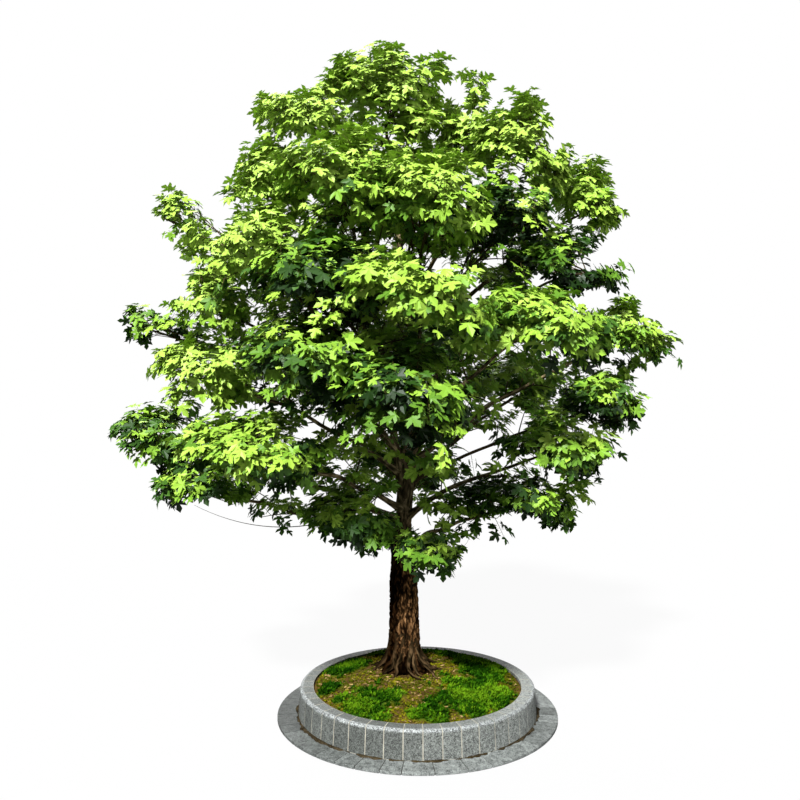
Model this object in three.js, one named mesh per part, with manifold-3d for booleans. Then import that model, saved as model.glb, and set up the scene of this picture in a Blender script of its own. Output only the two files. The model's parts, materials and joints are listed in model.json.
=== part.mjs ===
// A young plane tree in a round stone planter. Millimetres, +Z up, the front towards -Y.
// The origin is the centre of the planter's underside, on the ground.

import * as THREE from 'three';
import { mergeVertices } from 'three/addons/utils/BufferGeometryUtils.js';
import Module from 'manifold-3d';

const wasm = await Module();
wasm.setup();

// Clearance between a piece and the one that carries it
const SEAT_GAP = 0.3;
// Edges shorter than this are closed up after a cut or a join
const SLIVER = 0.05;
// Two directions are too much alike to make a frame from when their product is over this
const NEARLY_IN_LINE = 0.95;

// Planter: a ring of kerb stones on a wider course of paving, filled with earth
const STONES = 36;
const PLINTH_RADIUS = 1432;
const PLINTH_HEIGHT = 30;
const KERB_FOOT_RADIUS = 1220;
const KERB_RIM_RADIUS = 1202;
const KERB_INNER_RADIUS = 1068;
const KERB_TOP = 300;
const KERB_ROUNDING = 22;
const SOIL_EDGE = 270;
const SOIL_SEAT = 400;
const SOIL_SEAT_RADIUS = 480;

// Trunk: where it stands in the planter, and how its axis sways at even steps of height
const TRUNK_RIGHT = -136;
const TRUNK_BACK = 130;
const TRUNK_TIP = 6000;
const TRUNK_SWAY_RIGHT = [0, 0, -15, 50, 120, 70, -10, -100, -180];
const TRUNK_SWAY_BACK = [0, 0, 5, 30, 60, 75, 80, 80, 80];
const TRUNK_SIDES = 18;
const TRUNK_RINGS = 14;
const TRUNK_RING_CROWDING = 1.7;
// Pairs of height and radius, without the root flare
const TRUNK_GIRTH = [
  [SOIL_SEAT, 172], [870, 160], [1320, 150], [1570, 122], [1870, 96],
  [2170, 82], [2570, 62], [3970, 42], [TRUNK_TIP, 18],
];
// Root buttresses: heading in degrees from +X towards +Y, and how far each stands out at the ground
const ROOTS = [
  [-95, 130], [-40, 260], [15, 190], [80, 120], [150, 170], [215, 190],
];
const ROOT_HALF_WIDTH = 24;
const ROOT_FALL = 120;

// Boughs and the stems inside the masses of foliage
const BOUGH_SIDES = 5;
const BOUGH_RINGS = 5;
const BOUGH_TIP_RADIUS = 18;
const BOUGH_BASE_RADIUS = 21;
const BOUGH_RADIUS_PER_LENGTH = 0.008;
const BOUGH_SHARE_OF_PARENT = 0.66;
const BOUGH_ENTERS_AT = 0.5;
const BOUGH_DROP = 0.3;
const BEND_SHARE = 0.42;
const BEND_RISE = 0.62;
const TAPER_POWER = 0.8;
const LEADER_BASE_RADIUS = 52;
const STEM_SIDES = 4;
const STEM_RINGS = 3;
const STEM_TIP_RADIUS = 13;
const STEM_REACH = 0.5;
const STEM_BEND = 0.5;
const TWIGS_FROM = 0.3;
const REACH_FROM = 0.45;

// Twigs and leaves: each leaf is larger than life and stands for a spray
const SEED = 4127;
const TWIG_RADIUS = 6.5;
const STALK_RADIUS = 2.6;
const STALK_TIP_RADIUS = 5;
const TWIG_TRIES = 240;
const TWIG_REACH = 0.76;
const TWIG_REACH_VARIES = 0.3;
const TWIG_LOWEST = -0.6;
const TWIG_HIGHEST = 0.95;
const TWIG_TURN_VARIES = 0.6;
const SHOOT_SPREAD = 1.1;
const SHOOT_DROP = 0.5;
const FIRST_FORK = 0.5;
const SECOND_FORK = 0.75;
const FORK_VARIES = 0.2;
const LEAF_LENGTH = 740;
const LEAF_LENGTH_PER_SPREAD = 0.55;
const LEAF_LENGTH_VARIES = 0.3;
const LEAF_THICKNESS = 11;
const BLADE_ROOM = 14;
const LEAF_DROOP = 0.8;
const LEAF_FACE_UP = 0.35;
const LEAF_SIZES = [1, 0.8, 0.64];
const LEAVES_PER_MASS = 8.2;
const USUAL_SPREAD = 600;
const SPACE_MARGIN = 6;
const SPACE_OVERRUN = 1.2;
const HEIGHT_STRETCH = 1.4;
const LIMB_CLEARANCE = 12;
const LIMB_SAMPLE_STEP = 36;
const GOLDEN_ANGLE = Math.PI * (3 - Math.sqrt(5));
const GOLDEN_PART = (Math.sqrt(5) - 1) / 2;

// A leaf's outline in parts of its length, from its middle: where the base, side lobes, notches and tip lie
const LEAF_BASE = -0.45;
const LEAF_LOBE = 0.08;
const LEAF_LOBE_WIDTH = 0.5;
const LEAF_NOTCH = 0.2;
const LEAF_NOTCH_WIDTH = 0.36;
const LEAF_TIP = 0.55;
const LEAF_KITE = [[LEAF_BASE, 0], [LEAF_LOBE, LEAF_LOBE_WIDTH], [LEAF_TIP, 0]];

// The masses of foliage: centre to the right of the trunk's foot, behind it and above the ground,
// half width, half height, and the limb it is on: at the limb's tip, on a bough from a height of the limb,
// or on a stem straight from there. A reach is the middle of the leaf at the mass's furthest tip.
const MASSES = [
  { name: 'top_peak', centre: [-170, 100, 6450], spread: 640, deep: 580, tipOf: 'trunk' },
  { name: 'top_left', centre: [-930, 0, 6130], spread: 680, deep: 540, tipOf: 'left_leader' },
  { name: 'top_right', centre: [740, 200, 6180], spread: 360, deep: 600, stemFrom: 'trunk', at: 4870 },
  { name: 'upper_right', centre: [1220, -200, 5740], spread: 560, deep: 620, boughFrom: 'trunk', at: 4120 },
  { name: 'right_shoulder', centre: [1950, 150, 5270], spread: 430, deep: 480,
    boughFrom: 'trunk', at: 3650 },
  { name: 'left_shoulder', centre: [-1420, -100, 5450], spread: 440, deep: 500,
    boughFrom: 'left_leader', at: 4220 },
  { name: 'front_upper_left', centre: [-540, -1150, 5170], spread: 640, deep: 500,
    stemFrom: 'left_leader', at: 3920 },
  { name: 'front_upper_right', centre: [230, -1250, 4970], spread: 620, deep: 520,
    stemFrom: 'trunk', at: 3870 },
  { name: 'right_mid', centre: [1660, -250, 4500], spread: 640, deep: 480, boughFrom: 'trunk', at: 3190 },
  { name: 'right_inner', centre: [1080, -450, 5120], spread: 460, deep: 340, stemFrom: 'trunk', at: 3780 },
  { name: 'left_plate', centre: [-1450, -850, 4670], spread: 640, deep: 420,
    stemFrom: 'left_leader', at: 3420 },
  { name: 'left_mid', centre: [-2020, -100, 4230], spread: 470, deep: 480,
    boughFrom: 'left_leader', at: 3020 },
  { name: 'left_high_spray', centre: [-2400, 0, 5140], spread: 270, deep: 300,
    stemFrom: 'left_leader', at: 3570, reach: [-2360, 0, 5270] },
  { name: 'front_left_mid', centre: [-730, -1500, 4220], spread: 600, deep: 430,
    stemFrom: 'trunk', at: 3050 },
  { name: 'front_centre', centre: [150, -1900, 4030], spread: 720, deep: 460,
    boughFrom: 'trunk', at: 2820 },
  { name: 'front_right_plate', centre: [1150, -1300, 3820], spread: 740, deep: 430,
    boughFrom: 'trunk', at: 2650 },
  { name: 'right_tip', centre: [2280, 0, 3860], spread: 460, deep: 440, boughFrom: 'trunk', at: 2510,
    reach: [2570, 0, 3940] },
  { name: 'right_low_mid', centre: [2120, 0, 3200], spread: 440, deep: 340, stemFrom: 'trunk', at: 2330 },
  { name: 'left_low_mid', centre: [-2000, -350, 3470], spread: 520, deep: 400,
    boughFrom: 'left_leader', at: 2450 },
  { name: 'left_spray', centre: [-2740, 0, 4020], spread: 290, deep: 220, stemFrom: 'left_leader', at: 2770,
    reach: [-2720, 0, 4010] },
  { name: 'front_left_low', centre: [-820, -1600, 3520], spread: 640, deep: 420,
    boughFrom: 'left_leader', at: 2650 },
  { name: 'front_low_centre', centre: [30, -1850, 3220], spread: 620, deep: 480,
    stemFrom: 'trunk', at: 2150 },
  { name: 'far_left_low', centre: [-2550, -200, 2790], spread: 470, deep: 360, boughFrom: 'trunk', at: 1930,
    reach: [-2700, -200, 2870] },
  { name: 'left_low_plate', centre: [-1300, -1300, 2730], spread: 720, deep: 360,
    boughFrom: 'trunk', at: 2050 },
  { name: 'left_low_fringe', centre: [-2000, -300, 2300], spread: 560, deep: 300,
    boughFrom: 'trunk', at: 1730 },
  { name: 'bottom_left', centre: [-540, -450, 1990], spread: 500, deep: 340, stemFrom: 'trunk', at: 1630 },
  { name: 'bottom_clump', centre: [240, -800, 1770], spread: 330, deep: 260, stemFrom: 'trunk', at: 1530 },
  { name: 'right_low_plate', centre: [1520, -600, 2730], spread: 640, deep: 360,
    boughFrom: 'trunk', at: 1970 },
  { name: 'right_low_fringe', centre: [1180, -250, 2140], spread: 640, deep: 300,
    boughFrom: 'trunk', at: 1650 },
  { name: 'back_top', centre: [150, 1050, 5620], spread: 780, deep: 620, stemFrom: 'trunk', at: 4470 },
  { name: 'back_left_high', centre: [-1050, 1150, 4770], spread: 720, deep: 520,
    stemFrom: 'left_leader', at: 3720 },
  { name: 'back_right_high', centre: [1300, 1250, 4470], spread: 720, deep: 520,
    boughFrom: 'trunk', at: 3370 },
  { name: 'back_mid', centre: [50, 2000, 3870], spread: 760, deep: 520, stemFrom: 'trunk', at: 2730 },
  { name: 'back_left_low', centre: [-1350, 1500, 3520], spread: 740, deep: 480,
    boughFrom: 'trunk', at: 2570 },
  { name: 'back_right_low', centre: [1500, 1550, 3320], spread: 740, deep: 460,
    boughFrom: 'trunk', at: 2270 },
  { name: 'back_low', centre: [0, 1500, 2420], spread: 700, deep: 380, stemFrom: 'trunk', at: 1820 },
];

// Where the second leader leaves the trunk, and how steeply it rises beside it
const LEADER_FROM = 2050;
const LEADER_BEND = [-170, 20, 3470];

const UP = new THREE.Vector3(0, 0, 1);
const RIGHT = new THREE.Vector3(1, 0, 0);

function finish(color, roughness) {
  return new THREE.MeshStandardMaterial({ color, roughness, metalness: 0 });
}
const BARK = finish(0x4a3a2a, 0.9);
const YOUNG_BARK = finish(0x6a6150, 0.85);
const LEAF = finish(0x6fae2a, 0.55);
const GRANITE = finish(0x84898a, 0.75);
const PAVING = finish(0x74797a, 0.8);
const EARTH = finish(0x5a5a2c, 0.95);

// Numbers between 0 and 1 that repeat for the same seed
function seededRandom(seed) {
  let state = seed;
  return () => {
    state = (state + 0x6d2b79f5) >>> 0;
    let mixed = Math.imul(state ^ (state >>> 15), state | 1);
    mixed ^= mixed + Math.imul(mixed ^ (mixed >>> 7), mixed | 61);
    return ((mixed ^ (mixed >>> 14)) >>> 0) / 4294967296;
  };
}

function between(pairs, x) {
  const next = pairs.findIndex(([at]) => at >= x);
  if (next <= 0) return pairs[next === 0 ? 0 : pairs.length - 1][1];
  const [x0, y0] = pairs[next - 1];
  const [x1, y1] = pairs[next];
  return y0 + (y1 - y0) * (x - x0) / (x1 - x0);
}

// Geometry to solid and back, for joining and cutting
function solidOf(geometry) {
  const bare = geometry.clone();
  bare.deleteAttribute('normal');
  bare.deleteAttribute('uv');
  const merged = mergeVertices(bare, 1e-3);
  return new wasm.Manifold(new wasm.Mesh({
    numProp: 3,
    vertProperties: new Float32Array(merged.attributes.position.array),
    triVerts: new Uint32Array(merged.index.array),
  }));
}

// The largest body of a solid, with no sealed hollow, no scrap and no sliver
function mainBody(solid) {
  const bodies = solid.simplify(SLIVER).decompose();
  return bodies.reduce((best, body) => (body.volume() > best.volume() ? body : best));
}

function geometryOf(solid) {
  const { vertProperties, triVerts } = solid.getMesh();
  const geometry = new THREE.BufferGeometry();
  geometry.setAttribute('position', new THREE.BufferAttribute(new Float32Array(vertProperties), 3));
  geometry.setIndex(new THREE.BufferAttribute(new Uint32Array(triVerts), 1));
  geometry.computeVertexNormals();
  return geometry;
}

// A closed tapering limb: a cylinder bent along the curve, its rings crowded towards the foot if asked
function limbGeometry(limb) {
  const { curve, radiusAt, sides, rings, crowding = 1, standsOut = () => 0, footUpright = false } = limb;
  const frames = [];
  for (let ring = 0; ring <= rings; ring += 1) {
    const t = (ring / rings) ** crowding;
    const tangent = ring === 0 && footUpright ? UP.clone() : curve.getTangent(t);
    const last = ring === 0 ? RIGHT : frames[ring - 1].across;
    const guide = Math.abs(last.dot(tangent)) > NEARLY_IN_LINE ? UP : last;
    const across = guide.clone().addScaledVector(tangent, -guide.dot(tangent)).normalize();
    const aside = new THREE.Vector3().crossVectors(across, tangent);
    frames.push({ t, at: curve.getPoint(t), across, aside });
  }
  const geometry = new THREE.CylinderGeometry(1, 1, 1, sides, rings);
  const place = geometry.attributes.position;
  const point = new THREE.Vector3();
  for (let i = 0; i < place.count; i += 1) {
    point.fromBufferAttribute(place, i);
    const { t, at, across, aside } = frames[Math.round((point.y + 0.5) * rings)];
    const offset = across.clone().multiplyScalar(point.x).addScaledVector(aside, point.z);
    const radius = radiusAt(t) + standsOut(t, offset);
    point.copy(at).addScaledVector(offset, radius);
    place.setXYZ(i, point.x, point.y, point.z);
  }
  return geometry;
}

// Trunk
const trunkCurve = new THREE.CatmullRomCurve3(
  TRUNK_SWAY_RIGHT.map((right, step) => {
    const share = step / (TRUNK_SWAY_RIGHT.length - 1);
    return new THREE.Vector3(right, TRUNK_SWAY_BACK[step], SOIL_SEAT + share * (TRUNK_TIP - SOIL_SEAT));
  }),
  false,
  'catmullrom',
);

function trunkShare(height) {
  return (height - SOIL_SEAT) / (TRUNK_TIP - SOIL_SEAT);
}

function trunkRadius(t) {
  return between(TRUNK_GIRTH, SOIL_SEAT + t * (TRUNK_TIP - SOIL_SEAT));
}

// How far the root buttresses stand out of the trunk at a height, in the direction of an offset
function rootFlare(t, offset) {
  const fade = Math.exp(-t * (TRUNK_TIP - SOIL_SEAT) / ROOT_FALL);
  const heading = THREE.MathUtils.radToDeg(Math.atan2(offset.y, offset.x));
  return ROOTS.reduce((sum, [toward, reach]) => {
    const away = THREE.MathUtils.euclideanModulo(heading - toward + 180, 360) - 180;
    return sum + reach * fade * Math.exp(-((away / ROOT_HALF_WIDTH) ** 2));
  }, 0);
}

function trunkGeometry(grown = 0) {
  return limbGeometry({
    curve: trunkCurve,
    radiusAt: (t) => trunkRadius(t) + grown,
    sides: TRUNK_SIDES,
    rings: TRUNK_RINGS,
    crowding: TRUNK_RING_CROWDING,
    standsOut: rootFlare,
    footUpright: true,
  });
}

// Boughs and stems are bent once, rising before they spread
function risingCurve(start, end) {
  const bend = new THREE.Vector3().lerpVectors(start, end, BEND_SHARE);
  bend.z = start.z + BEND_RISE * (end.z - start.z);
  return new THREE.QuadraticBezierCurve3(start, bend, end);
}

function taper(base, tip) {
  return (t) => base + (tip - base) * t ** TAPER_POWER;
}

function boughGeometry(bough, grown = 0) {
  return limbGeometry({
    curve: bough.curve,
    radiusAt: (t) => bough.radiusAt(t) + grown,
    sides: BOUGH_SIDES,
    rings: bough.rings,
  });
}

// Where a bough ends, at the lower inner side of its mass
function massEntry(mass, start) {
  const centre = new THREE.Vector3(...mass.centre);
  const inward = start.clone().sub(centre).setZ(0).normalize();
  return centre
    .addScaledVector(inward, BOUGH_ENTERS_AT * mass.spread)
    .addScaledVector(UP, -BOUGH_DROP * mass.deep);
}

const trunk = { curve: trunkCurve, radiusAt: trunkRadius, shareAt: trunkShare };
const limbs = { trunk };

function shareAtHeight(curve, height) {
  let low = 0;
  let high = 1;
  for (let step = 0; step < 40; step += 1) {
    const middle = (low + high) / 2;
    if (curve.getPoint(middle).z < height) low = middle;
    else high = middle;
  }
  return low;
}

function makeLeader() {
  const top = MASSES.find(({ tipOf }) => tipOf === 'left_leader');
  const start = trunkCurve.getPoint(trunkShare(LEADER_FROM));
  const bend = new THREE.Vector3(...LEADER_BEND);
  const curve = new THREE.QuadraticBezierCurve3(start, bend, massEntry(top, bend));
  return {
    curve,
    parent: trunk,
    radiusAt: taper(LEADER_BASE_RADIUS, BOUGH_TIP_RADIUS),
    rings: 2 * BOUGH_RINGS,
    shareAt: (height) => shareAtHeight(curve, height),
  };
}

function makeBough(mass) {
  const parent = limbs[mass.boughFrom];
  const share = parent.shareAt(mass.at);
  const start = parent.curve.getPoint(share);
  const curve = risingCurve(start, massEntry(mass, start));
  const base = Math.min(
    BOUGH_BASE_RADIUS + BOUGH_RADIUS_PER_LENGTH * curve.getLength(),
    BOUGH_SHARE_OF_PARENT * parent.radiusAt(share),
  );
  const tip = Math.min(BOUGH_TIP_RADIUS, base);
  return { curve, parent, radiusAt: taper(base, tip), rings: BOUGH_RINGS };
}

limbs.left_leader = makeLeader();
for (const mass of MASSES) {
  if (mass.boughFrom) limbs[mass.name] = makeBough(mass);
}

// The stem that a mass's twigs grow from: on from its limb's tip, or straight from the limb's side
function makeStem(mass) {
  const tipOf = limbs[mass.tipOf] ?? limbs[mass.name];
  const side = limbs[mass.stemFrom];
  const centre = new THREE.Vector3(...mass.centre);
  const start = tipOf ? tipOf.curve.getPoint(1) : side.curve.getPoint(side.shareAt(mass.at));
  const outward = new THREE.Vector3().subVectors(centre, start).setZ(0).normalize();
  const end = centre.addScaledVector(outward, STEM_REACH * mass.spread);
  if (!tipOf) {
    const base = Math.min(BOUGH_BASE_RADIUS, BOUGH_SHARE_OF_PARENT * side.radiusAt(side.shareAt(mass.at)));
    return { curve: risingCurve(start, end), parent: side, radiusAt: taper(base, STEM_TIP_RADIUS) };
  }
  const heading = tipOf.curve.getTangent(1);
  start.addScaledVector(heading, SEAT_GAP);
  const bend = start.clone().addScaledVector(heading, STEM_BEND * start.distanceTo(end));
  const curve = new THREE.QuadraticBezierCurve3(start, bend, end);
  return { curve, radiusAt: taper(tipOf.radiusAt(1), STEM_TIP_RADIUS) };
}

function stemGeometry(stem) {
  return limbGeometry({ curve: stem.curve, radiusAt: stem.radiusAt, sides: STEM_SIDES, rings: STEM_RINGS });
}

// Points along every limb and stem, each with the radius there, that twigs and leaves keep clear of
function samplesOf(limb) {
  const steps = Math.ceil(limb.curve.getLength() / LIMB_SAMPLE_STEP);
  return Array.from({ length: steps + 1 }, (_, step) => ({
    at: limb.curve.getPoint(step / steps),
    radius: limb.radiusAt(step / steps),
  }));
}

// A mass's own space: nearer to it than to any other mass, with heights stretched and half widths weighed in
function stretched(point) {
  return new THREE.Vector3(point.x, point.y, point.z * HEIGHT_STRETCH);
}

function insideSpace(point, mass) {
  const here = stretched(point);
  const own = stretched(new THREE.Vector3(...mass.centre));
  const ownPower = here.distanceToSquared(own) - mass.spread ** 2;
  return MASSES.every((other) => {
    if (other === mass) return true;
    const far = stretched(new THREE.Vector3(...other.centre));
    const power = here.distanceToSquared(far) - other.spread ** 2;
    return power - ownPower > 2 * HEIGHT_STRETCH * SPACE_MARGIN * own.distanceTo(far);
  });
}

function insideBulge(point, mass) {
  const [right, back, up] = mass.centre;
  const flat = Math.hypot(point.x - right, point.y - back) / mass.spread;
  return Math.hypot(flat, (point.z - up) / mass.deep) < SPACE_OVERRUN;
}

function rodClear(start, end, radius, obstacles) {
  const rod = new THREE.Line3(start, end);
  const nearest = new THREE.Vector3();
  return obstacles.every((limb) => {
    rod.closestPointToPoint(limb.at, true, nearest);
    return nearest.distanceTo(limb.at) > limb.radius + radius + LIMB_CLEARANCE;
  });
}

// Which way a leaf's upper side faces: out of its mass and somewhat up
function leafFace(mass, centre) {
  const [right, back, up] = mass.centre;
  return new THREE.Vector3(
    (centre.x - right) / mass.spread ** 2,
    (centre.y - back) / mass.spread ** 2,
    (centre.z - up) / mass.deep ** 2,
  ).normalize().addScaledVector(UP, LEAF_FACE_UP).normalize();
}

// A leaf's frame: its rib runs on from the stalk and droops, square to its face
function leafFrame(heading, centre, face, length) {
  const along = heading.clone().addScaledVector(UP, -LEAF_DROOP);
  along.addScaledVector(face, -face.dot(along)).normalize();
  const across = new THREE.Vector3().crossVectors(along, face);
  return { centre, along, face, across, length };
}

function leafPoint(leaf, along, aside = 0) {
  return leaf.centre.clone()
    .addScaledVector(leaf.along, along * leaf.length)
    .addScaledVector(leaf.across, aside * leaf.length);
}

function leafClear(leaf, obstacles) {
  const offset = new THREE.Vector3();
  return obstacles.every(({ at, radius }) => {
    offset.subVectors(at, leaf.centre);
    const room = radius + LIMB_CLEARANCE;
    if (Math.abs(offset.dot(leaf.face)) > room + LEAF_THICKNESS) return true;
    return !overBlade(leaf, offset, room);
  });
}

// Whether a point, given from the leaf's middle, lies over its kite-shaped blade or within some room of it
function overBlade(leaf, offset, room) {
  const along = offset.dot(leaf.along) / leaf.length;
  const spare = room / leaf.length;
  if (along < LEAF_BASE - spare || along > LEAF_TIP + spare) return false;
  return Math.abs(offset.dot(leaf.across)) / leaf.length < between(LEAF_KITE, along) + spare;
}

// Whether a straight line passes through a leaf's blade
function pierces([start, end], leaf) {
  const before = start.clone().sub(leaf.centre);
  const after = end.clone().sub(leaf.centre);
  const above = before.dot(leaf.face);
  const below = after.dot(leaf.face);
  if (above * below > 0) return false;
  return overBlade(leaf, before.lerp(after, above / (above - below)), BLADE_ROOM);
}

// One step of a leaf's spike: its place, the directions across it and over it, and its half width and height
function leafStation(leaf, at, heading, wide, high) {
  const across = leaf.across.clone().addScaledVector(heading, -leaf.across.dot(heading)).normalize();
  return { at, across, over: new THREE.Vector3().crossVectors(across, heading), wide, high };
}

// A three-lobed blade on its stalk: a three-sided spike of four steps, pressed to the outline
function leafGeometry({ start, base, radius, leaf }) {
  const stalk = new THREE.Vector3().subVectors(base, start).normalize();
  const turn = stalk.clone().add(leaf.along).normalize();
  const { along, length } = leaf;
  const stations = [
    leafStation(leaf, start, stalk, radius, radius),
    leafStation(leaf, base, turn, STALK_TIP_RADIUS, STALK_TIP_RADIUS),
    leafStation(leaf, leafPoint(leaf, LEAF_LOBE), along, LEAF_LOBE_WIDTH * length, LEAF_THICKNESS),
    leafStation(leaf, leafPoint(leaf, LEAF_NOTCH), along, LEAF_NOTCH_WIDTH * length, LEAF_THICKNESS),
    leafStation(leaf, leafPoint(leaf, LEAF_TIP), along, 0, 0),
  ];
  const steps = stations.length - 1;
  const geometry = new THREE.ConeGeometry(1, 1, 3, steps);
  const place = geometry.attributes.position;
  const point = new THREE.Vector3();
  for (let i = 0; i < place.count; i += 1) {
    const step = Math.round((place.getY(i) + 0.5) * steps);
    const { at, across, over, wide, high } = stations[step];
    const size = Math.max(1 - step / steps, 1e-6);
    const aside = Math.round(place.getX(i) / size);
    point.copy(at).addScaledVector(across, aside * wide).addScaledVector(over, place.getZ(i) / size * high);
    place.setXYZ(i, point.x, point.y, point.z);
  }
  return geometry;
}

// The rib and edges of a leaf, as straight lines
function leafLines(leaf) {
  const base = leafPoint(leaf, LEAF_BASE);
  const tip = leafPoint(leaf, LEAF_TIP);
  const sides = [1, -1].map((side) => leafPoint(leaf, LEAF_LOBE, side * LEAF_LOBE_WIDTH));
  return [[base, tip], ...sides.flatMap((lobe) => [[base, lobe], [lobe, tip]])];
}

// One leaf on its stalk at the first size that fits, or nothing
function growShoot(start, end, radius, length, mass, around, bounded) {
  for (const share of LEAF_SIZES) {
    const shoot = tryShoot(start, end, radius, share * length, mass, around, bounded);
    if (shoot) return shoot;
  }
  return null;
}

// A leaf on its stalk, skipped where it would leave the mass's space or touch a limb or another leaf
function tryShoot(start, end, radius, length, mass, around, bounded) {
  const heading = new THREE.Vector3().subVectors(end, start).normalize();
  const leaf = leafFrame(heading, end, bounded ? leafFace(mass, end) : UP, length);
  const corners = [
    leafPoint(leaf, LEAF_TIP),
    leafPoint(leaf, LEAF_LOBE, LEAF_LOBE_WIDTH),
    leafPoint(leaf, LEAF_LOBE, -LEAF_LOBE_WIDTH),
  ];
  const base = leafPoint(leaf, LEAF_BASE);
  const fits = [start, base, ...corners].every((point) => insideSpace(point, mass))
    && corners.every((point) => !bounded || insideBulge(point, mass))
    && rodClear(start, base, radius, around.limbs)
    && leafClear(leaf, around.limbs);
  const lines = [[start, base], ...leafLines(leaf)];
  const crosses = around.lines.some((line) => pierces(line, leaf))
    || around.leaves.some((other) => lines.some((line) => pierces(line, other)));
  if (!fits || crosses) return null;
  around.leaves.push(leaf);
  around.lines.push(...lines);
  return { start, base, radius, leaf };
}

// A point in a mass by its heading, its rise from -1 to 1 and its share of the way out
function pointInMass(mass, heading, rise, share) {
  const [right, back, up] = mass.centre;
  const flat = Math.sqrt(1 - rise * rise) * mass.spread * share;
  return new THREE.Vector3(
    right + flat * Math.cos(heading),
    back + flat * Math.sin(heading),
    up + rise * mass.deep * share,
  );
}

// Twigs leave the stem by the golden angle. Each ends in a leaf and carries a stalked leaf on either side.
function growMass(mass, stem, obstacles, random) {
  const shoots = [];
  const stemPoints = stem.curve.getPoints(STEM_RINGS);
  const around = {
    limbs: obstacles,
    leaves: [],
    lines: stemPoints.slice(1).map((point, ring) => [stemPoints[ring], point]),
  };
  const wanted = Math.round(LEAVES_PER_MASS * Math.sqrt(mass.spread / USUAL_SPREAD));
  const usualLength = LEAF_LENGTH + LEAF_LENGTH_PER_SPREAD * (mass.spread - USUAL_SPREAD);
  for (let twig = 0; twig < TWIG_TRIES && shoots.length < wanted; twig += 1) {
    const draws = Array.from({ length: 8 }, random);
    const reach = twig === 0 && mass.reach ? new THREE.Vector3(...mass.reach) : null;
    const heading = twig * GOLDEN_ANGLE + TWIG_TURN_VARIES * (draws[0] - 0.5);
    const rise = THREE.MathUtils.lerp(TWIG_LOWEST, TWIG_HIGHEST, (twig * GOLDEN_PART + draws[1]) % 1);
    const share = TWIG_REACH + TWIG_REACH_VARIES * (draws[2] - 0.5);
    const length = usualLength * (1 + LEAF_LENGTH_VARIES * (draws[3] - 0.5));
    const start = stem.curve.getPoint(reach ? REACH_FROM : TWIGS_FROM + (1 - TWIGS_FROM) * draws[4]);
    const end = reach ?? pointInMass(mass, heading, rise, share);
    const main = growShoot(start, end, TWIG_RADIUS, length, mass, around, !reach);
    if (!main) continue;
    shoots.push(main);
    for (const [side, forkShare, draw] of [[1, FIRST_FORK, draws[5]], [-1, SECOND_FORK, draws[6]]]) {
      const fork = start.clone().lerp(main.base, forkShare + FORK_VARIES * (draw - 0.5));
      const turn = side * SHOOT_SPREAD * length / mass.spread;
      const drop = SHOOT_DROP * draws[7] * side;
      const sideEnd = pointInMass(mass, heading + turn, THREE.MathUtils.clamp(rise + drop, -1, 1), share);
      const shoot = growShoot(fork, sideEnd, STALK_RADIUS, length, mass, around, !reach);
      if (shoot) shoots.push(shoot);
    }
  }
  return shoots;
}

// Planter
function lathe(profile) {
  const points = profile.map(([radius, height]) => new THREE.Vector2(radius, height));
  return new THREE.LatheGeometry(points, STONES).rotateX(Math.PI / 2);
}

function plinthGeometry() {
  return lathe([
    [KERB_INNER_RADIUS, 0],
    [PLINTH_RADIUS, 0],
    [PLINTH_RADIUS, PLINTH_HEIGHT],
    [KERB_INNER_RADIUS, PLINTH_HEIGHT],
    [KERB_INNER_RADIUS, 0],
  ]);
}

// The kerb leans in a little and its upper outer edge is rounded
function kerbGeometry() {
  const rounding = [0, 1, 2].map((step) => {
    const angle = step * Math.PI / 4;
    return [
      KERB_RIM_RADIUS - KERB_ROUNDING * (1 - Math.cos(angle)),
      KERB_TOP - KERB_ROUNDING * (1 - Math.sin(angle)),
    ];
  });
  return lathe([
    [KERB_INNER_RADIUS, PLINTH_HEIGHT],
    [KERB_FOOT_RADIUS, PLINTH_HEIGHT],
    ...rounding,
    [KERB_INNER_RADIUS, KERB_TOP],
    [KERB_INNER_RADIUS, PLINTH_HEIGHT],
  ]);
}

// The earth fills the ring and rises to a level seat under the trunk
function soilGeometry() {
  const radius = KERB_INNER_RADIUS - SEAT_GAP;
  const geometry = lathe([
    [0, 0],
    [radius, 0],
    [radius, SOIL_EDGE],
    [SOIL_SEAT_RADIUS, SOIL_SEAT],
    [0, SOIL_SEAT],
  ]);
  const place = geometry.attributes.position;
  for (let i = 0; i < place.count; i += 1) {
    if (place.getZ(i) > (SOIL_EDGE + SOIL_SEAT) / 2) {
      place.setXYZ(i, place.getX(i) + TRUNK_RIGHT, place.getY(i) + TRUNK_BACK, SOIL_SEAT);
    }
  }
  return geometry;
}

// Assembly
function piece(name, geometry, material) {
  const mesh = new THREE.Mesh(geometry, material);
  mesh.name = name;
  return mesh;
}

const planter = new THREE.Group();
planter.add(
  piece('planter_plinth', plinthGeometry(), PAVING),
  piece('planter_kerb', kerbGeometry(), GRANITE),
  piece('planter_soil', soilGeometry(), EARTH),
);

const tree = new THREE.Group();
tree.position.set(TRUNK_RIGHT, TRUNK_BACK, 0);
tree.add(piece('trunk', trunkGeometry(), BARK));

// A limb is cut back to its parent's surface, with the seat's gap
const parentCuts = new Map([
  [trunk, solidOf(trunkGeometry(SEAT_GAP))],
  [limbs.left_leader, solidOf(boughGeometry(limbs.left_leader, SEAT_GAP))],
]);
function cutFromParent(geometry, parent) {
  return mainBody(solidOf(geometry).subtract(parentCuts.get(parent)));
}

for (const [name, limb] of Object.entries(limbs)) {
  if (limb === trunk) continue;
  const bough = cutFromParent(boughGeometry(limb), limb.parent);
  tree.add(piece(`bough_${name}`, geometryOf(bough), YOUNG_BARK));
}

const stems = new Map(MASSES.map((mass) => [mass, makeStem(mass)]));
const limbSamples = Object.values(limbs).flatMap(samplesOf);
const stemSamples = new Map(MASSES.map((mass) => [mass, samplesOf(stems.get(mass))]));

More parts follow.
